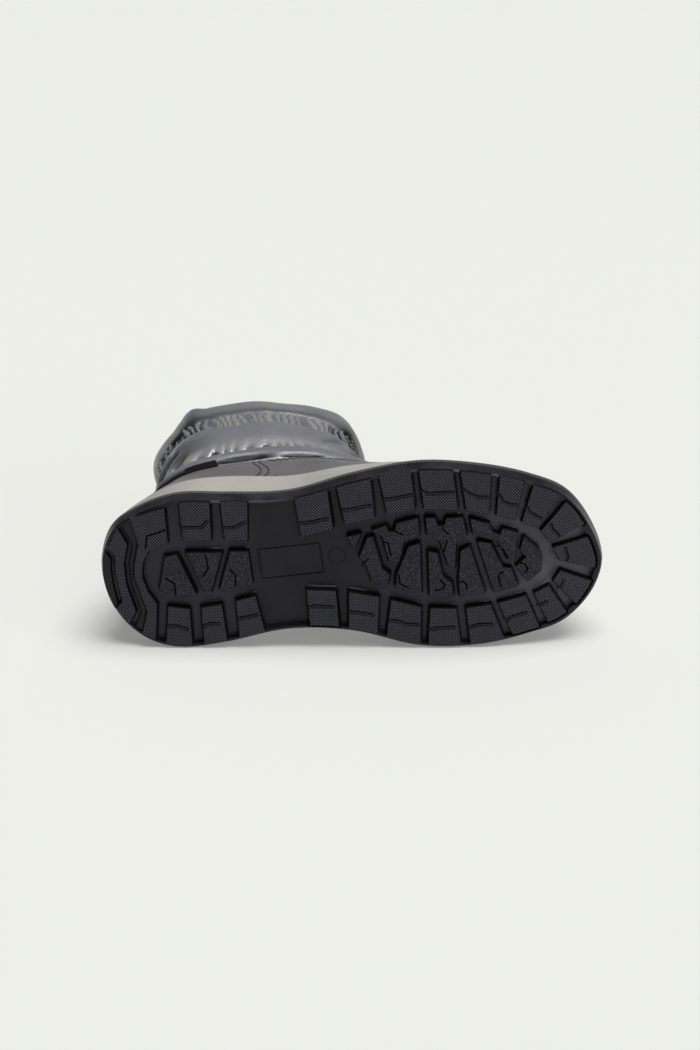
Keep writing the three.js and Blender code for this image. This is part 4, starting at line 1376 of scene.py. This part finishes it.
# Add-on ---------------------------------------------------------------------------------------

def colour_property(name, text, value):
    return bpy.props.StringProperty(name=name, description=text, default=value, maxlen=7)


def number_property(name, text, value, **limits):
    return bpy.props.FloatProperty(name=name, description=text, default=value, **limits)


class BootSettings(bpy.types.PropertyGroup):
    """Sizes and colours of the boot's finishes."""
    rib_depth: number_property(
        "Midsole rib depth", "Depth of the fine ribs round the midsole, in millimetres", 0.45,
        min=0, max=1)
    thread_radius: number_property(
        "Thread radius", "Half the thickness of the sewing thread, in millimetres", 0.3,
        min=0.1, max=0.6)
    nylon_roughness: number_property(
        "Nylon roughness", "Roughness of the quilting's satin", 0.4, min=0, max=1)
    rubber_dark: colour_property("Rubber, dark", "Darker tone of the rubber", "#101017")
    rubber_light: colour_property("Rubber, light", "Lighter tone of the rubber", "#191921")
    rubber_glint: colour_property("Rubber glints", "Tops of the knurl and grain", "#646470")
    rubber_rim: colour_property("Rubber rim", "Lighter tops of the rim's ribs", "#727274")
    # Painted shade on the walls of the lugs and the thin cuts.
    rubber_wall_shade: colour_property("Rubber walls", "Painted shade on the walls of the lugs and cuts", "#08080a")
    # Painted light on the channel floors, lightest at the toe; the toe's colour also makes cloudy
    # patches on the side.
    rubber_toe: colour_property("Rubber, toe", "Painted light on the toe's channels, and cloudy patches on the side", "#5e5e66")
    rubber_channel_light: colour_property("Rubber, channels", "Painted light on the floors of the channels", "#2d2d37")
    foam_dark: colour_property("Foam, dark", "Darker tone of the midsole", "#a6a49e")
    foam_light: colour_property("Foam, light", "Lighter tone of the midsole", "#b4b1ab")
    leather_dark: colour_property("Leather, dark", "Darker tone of the vamp", "#69686a")
    leather_light: colour_property("Leather, light", "Lighter tone of the vamp", "#717071")
    counter_dark: colour_property("Counter, dark", "Darker tone of the rear quarter", "#686668")
    counter_light: colour_property("Counter, light", "Lighter tone of the rear quarter", "#737172")
    nylon_dark: colour_property("Nylon, dark", "Darker tone of the quilting", "#8b8c94")
    nylon_light: colour_property("Nylon, light", "Lighter tone of the quilting", "#9b9ca4")
    # Painted light on the crests of the folds and painted shade in their hollows.
    painted_fold_shading: colour_property("Folds", "Warm painted light on the crests of the folds", "#cac4ba")
    painted_hollow_shade: colour_property("Hollows", "Painted shade in the hollows between the folds", "#0e0e10")
    lining_dark: colour_property("Lining, dark", "Hollows of the fleece", "#46474b")
    lining_light: colour_property("Lining, light", "Tips of the fleece", "#6a6b70")
    ribbon_dark: colour_property("Tab, dark", "Hollows of the tab's weave", "#060607")
    ribbon_light: colour_property("Tab, light", "Ribs of the tab's weave", "#101012")
    thread_dark: colour_property("Thread, dark", "Hollows of the thread", "#2c2c2d")
    thread_light: colour_property("Thread, light", "Lit side of the thread", "#9a9895")


class StageSettings(bpy.types.PropertyGroup):
    """The table, lights and camera."""
    floor_hex: colour_property("Table", "Colour of the table", "#d0d1cc")
    world_light: number_property(
        "Room light", "Strength of the even light all round", 0.14, min=0)
    sun_light: number_property(
        "Overhead light", "Strength of the wide soft light above", 2.76, min=0)
    table_glow: number_property(
        "Table glow", "Strength of the light in the table itself", 0.21, min=0)
    fill_light: number_property(
        "Side fill", "Strength of the low light on the tread's right", 0.56, min=0)
    camera_tilt: number_property("Camera tilt", "Degrees that the camera looks down by", 20)


class BOOT_OT_outsole(bpy.types.Operator):
    """Build the black rubber outsole with its lugs, cuts, knurl and ribbed rim"""
    bl_idname = "boot.outsole"
    bl_label = "Outsole"

    def execute(self, context):
        s = context.scene.boot_settings
        tones = (s.rubber_dark, s.rubber_light, s.rubber_glint, s.rubber_rim, s.rubber_wall_shade,
                 s.rubber_toe, s.rubber_channel_light)
        finishes = [moulded_rubber("moulded rubber, " + finish, tones, finish)
                    for finish in RUBBER_FINISHES]
        piece = outsole_piece(finishes)
        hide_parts("outsole")
        return {"FINISHED"}


class BOOT_OT_midsole(bpy.types.Operator):
    """Build the pale foam midsole with the ribs round its side"""
    bl_idname = "boot.midsole"
    bl_label = "Midsole"

    def execute(self, context):
        s = context.scene.boot_settings
        piece = midsole_piece(foam_rubber("moulded EVA foam", (s.foam_dark, s.foam_light)),
                              s.rib_depth)
        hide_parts("midsole")
        return {"FINISHED"}


class BOOT_OT_leather(bpy.types.Operator):
    """Build the coated leather upper, its rear counter and the rows of stitches"""
    bl_idname = "boot.leather"
    bl_label = "Leather"

    def execute(self, context):
        s = context.scene.boot_settings
        fleece = brushed_fleece("brushed polyester fleece", (s.lining_dark, s.lining_light))
        upper = upper_piece(
            coated_leather("coated split leather", (s.leather_dark, s.leather_light)), fleece)
        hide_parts("upper")
        counter = counter_piece(
            coated_leather("coated split leather, light", (s.counter_dark, s.counter_light)))
        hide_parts("counter")
        thread = twisted_thread("bonded polyester thread", (s.thread_dark, s.thread_light))
        dark = twisted_thread("bonded polyester thread, dark", (s.ribbon_light, s.thread_dark))
        rings = np.linspace(1.3, 4.85, 60)
        pairs = []
        for side in (1, -1):
            for row in STITCH_ROWS:
                angles = side * (counter_edge(rings) - row)
                pairs += stitch_row(angles, rings, GAP + OVERLAY - 0.2, length=1.7, gap=0.7)
        seams = stitches_piece("counter_stitches", pairs, s.thread_radius, dark)
        turns = np.linspace(BAND_START + 3, 360 - BAND_START - 3, 240)
        pairs = stitch_row(turns, TOP_STITCHES, 0.5, length=1.9, gap=0.0, zigzag=0.1)
        stitches = stitches_piece("leather_stitches", pairs, 1.3 * s.thread_radius, thread)
        return {"FINISHED"}


class BOOT_OT_shaft(bpy.types.Operator):
    """Build the quilted nylon shaft with its gathers and its fleece lining"""
    bl_idname = "boot.shaft"
    bl_label = "Shaft"

    def execute(self, context):
        s = context.scene.boot_settings
        nylon = calendered_nylon(
            "calendered nylon", (s.nylon_dark, s.nylon_light, s.painted_fold_shading, s.painted_hollow_shade),
            s.nylon_roughness)
        fleece = bpy.data.materials["brushed polyester fleece"]
        piece = shaft_piece(nylon, fleece)
        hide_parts("shaft")
        return {"FINISHED"}


class BOOT_OT_side_tab(bpy.types.Operator):
    """Build the bare woven tab at the lateral rear"""
    bl_idname = "boot.side_tab"
    bl_label = "Side tab"

    def execute(self, context):
        s = context.scene.boot_settings
        piece = tab_piece(woven_ribbon("satin-woven ribbon", (s.ribbon_dark, s.ribbon_light)))
        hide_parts("side_tab")
        return {"FINISHED"}


class BOOT_OT_insole(bpy.types.Operator):
    """Build the felt footbed inside"""
    bl_idname = "boot.insole"
    bl_label = "Insole"

    def execute(self, context):
        s = context.scene.boot_settings
        piece = insole_piece(brushed_fleece("needled wool felt", (s.lining_light, "#66676b")))
        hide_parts("insole")
        return {"FINISHED"}


class BOOT_OT_stage(bpy.types.Operator):
    """Lay the pale table and set the soft lights and the camera"""
    bl_idname = "boot.stage"
    bl_label = "Stage"

    def execute(self, context):
        stage_pieces(context.scene.stage_settings)
        return {"FINISHED"}


OPERATORS = (BOOT_OT_outsole, BOOT_OT_midsole, BOOT_OT_leather, BOOT_OT_shaft, BOOT_OT_side_tab,
             BOOT_OT_insole, BOOT_OT_stage)


class BOOT_PT_panel(bpy.types.Panel):
    """The boot's builders"""
    bl_label = "Winter boot"
    bl_space_type = "VIEW_3D"
    bl_region_type = "UI"
    bl_category = "Boot"

    def draw(self, context):
        for operator in OPERATORS:
            self.layout.operator(operator.bl_idname)
        for group in (context.scene.boot_settings, context.scene.stage_settings):
            box = self.layout.box()
            for key in group.__annotations__:
                box.prop(group, key)


CLASSES = (BootSettings, StageSettings) + OPERATORS + (BOOT_PT_panel,)


def register():
    for made in CLASSES:
        bpy.utils.register_class(made)
    bpy.types.Scene.boot_settings = bpy.props.PointerProperty(type=BootSettings)
    bpy.types.Scene.stage_settings = bpy.props.PointerProperty(type=StageSettings)


def unregister():
    del bpy.types.Scene.boot_settings
    del bpy.types.Scene.stage_settings
    for made in reversed(CLASSES):
        bpy.utils.unregister_class(made)


def plain(box):
    return [[float(v) for v in corner] for corner in box]


def main():
    register()
    bpy.ops.boot.outsole()
    bpy.ops.boot.midsole()
    bpy.ops.boot.leather()
    bpy.ops.boot.shaft()
    bpy.ops.boot.side_tab()
    bpy.ops.boot.insole()
    bpy.ops.boot.stage()
    bpy.context.view_layer.update()
    sizes = {"cad": plain(CAD_BOX), "visual": plain(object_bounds())}


if __name__ == "__main__":
    main()
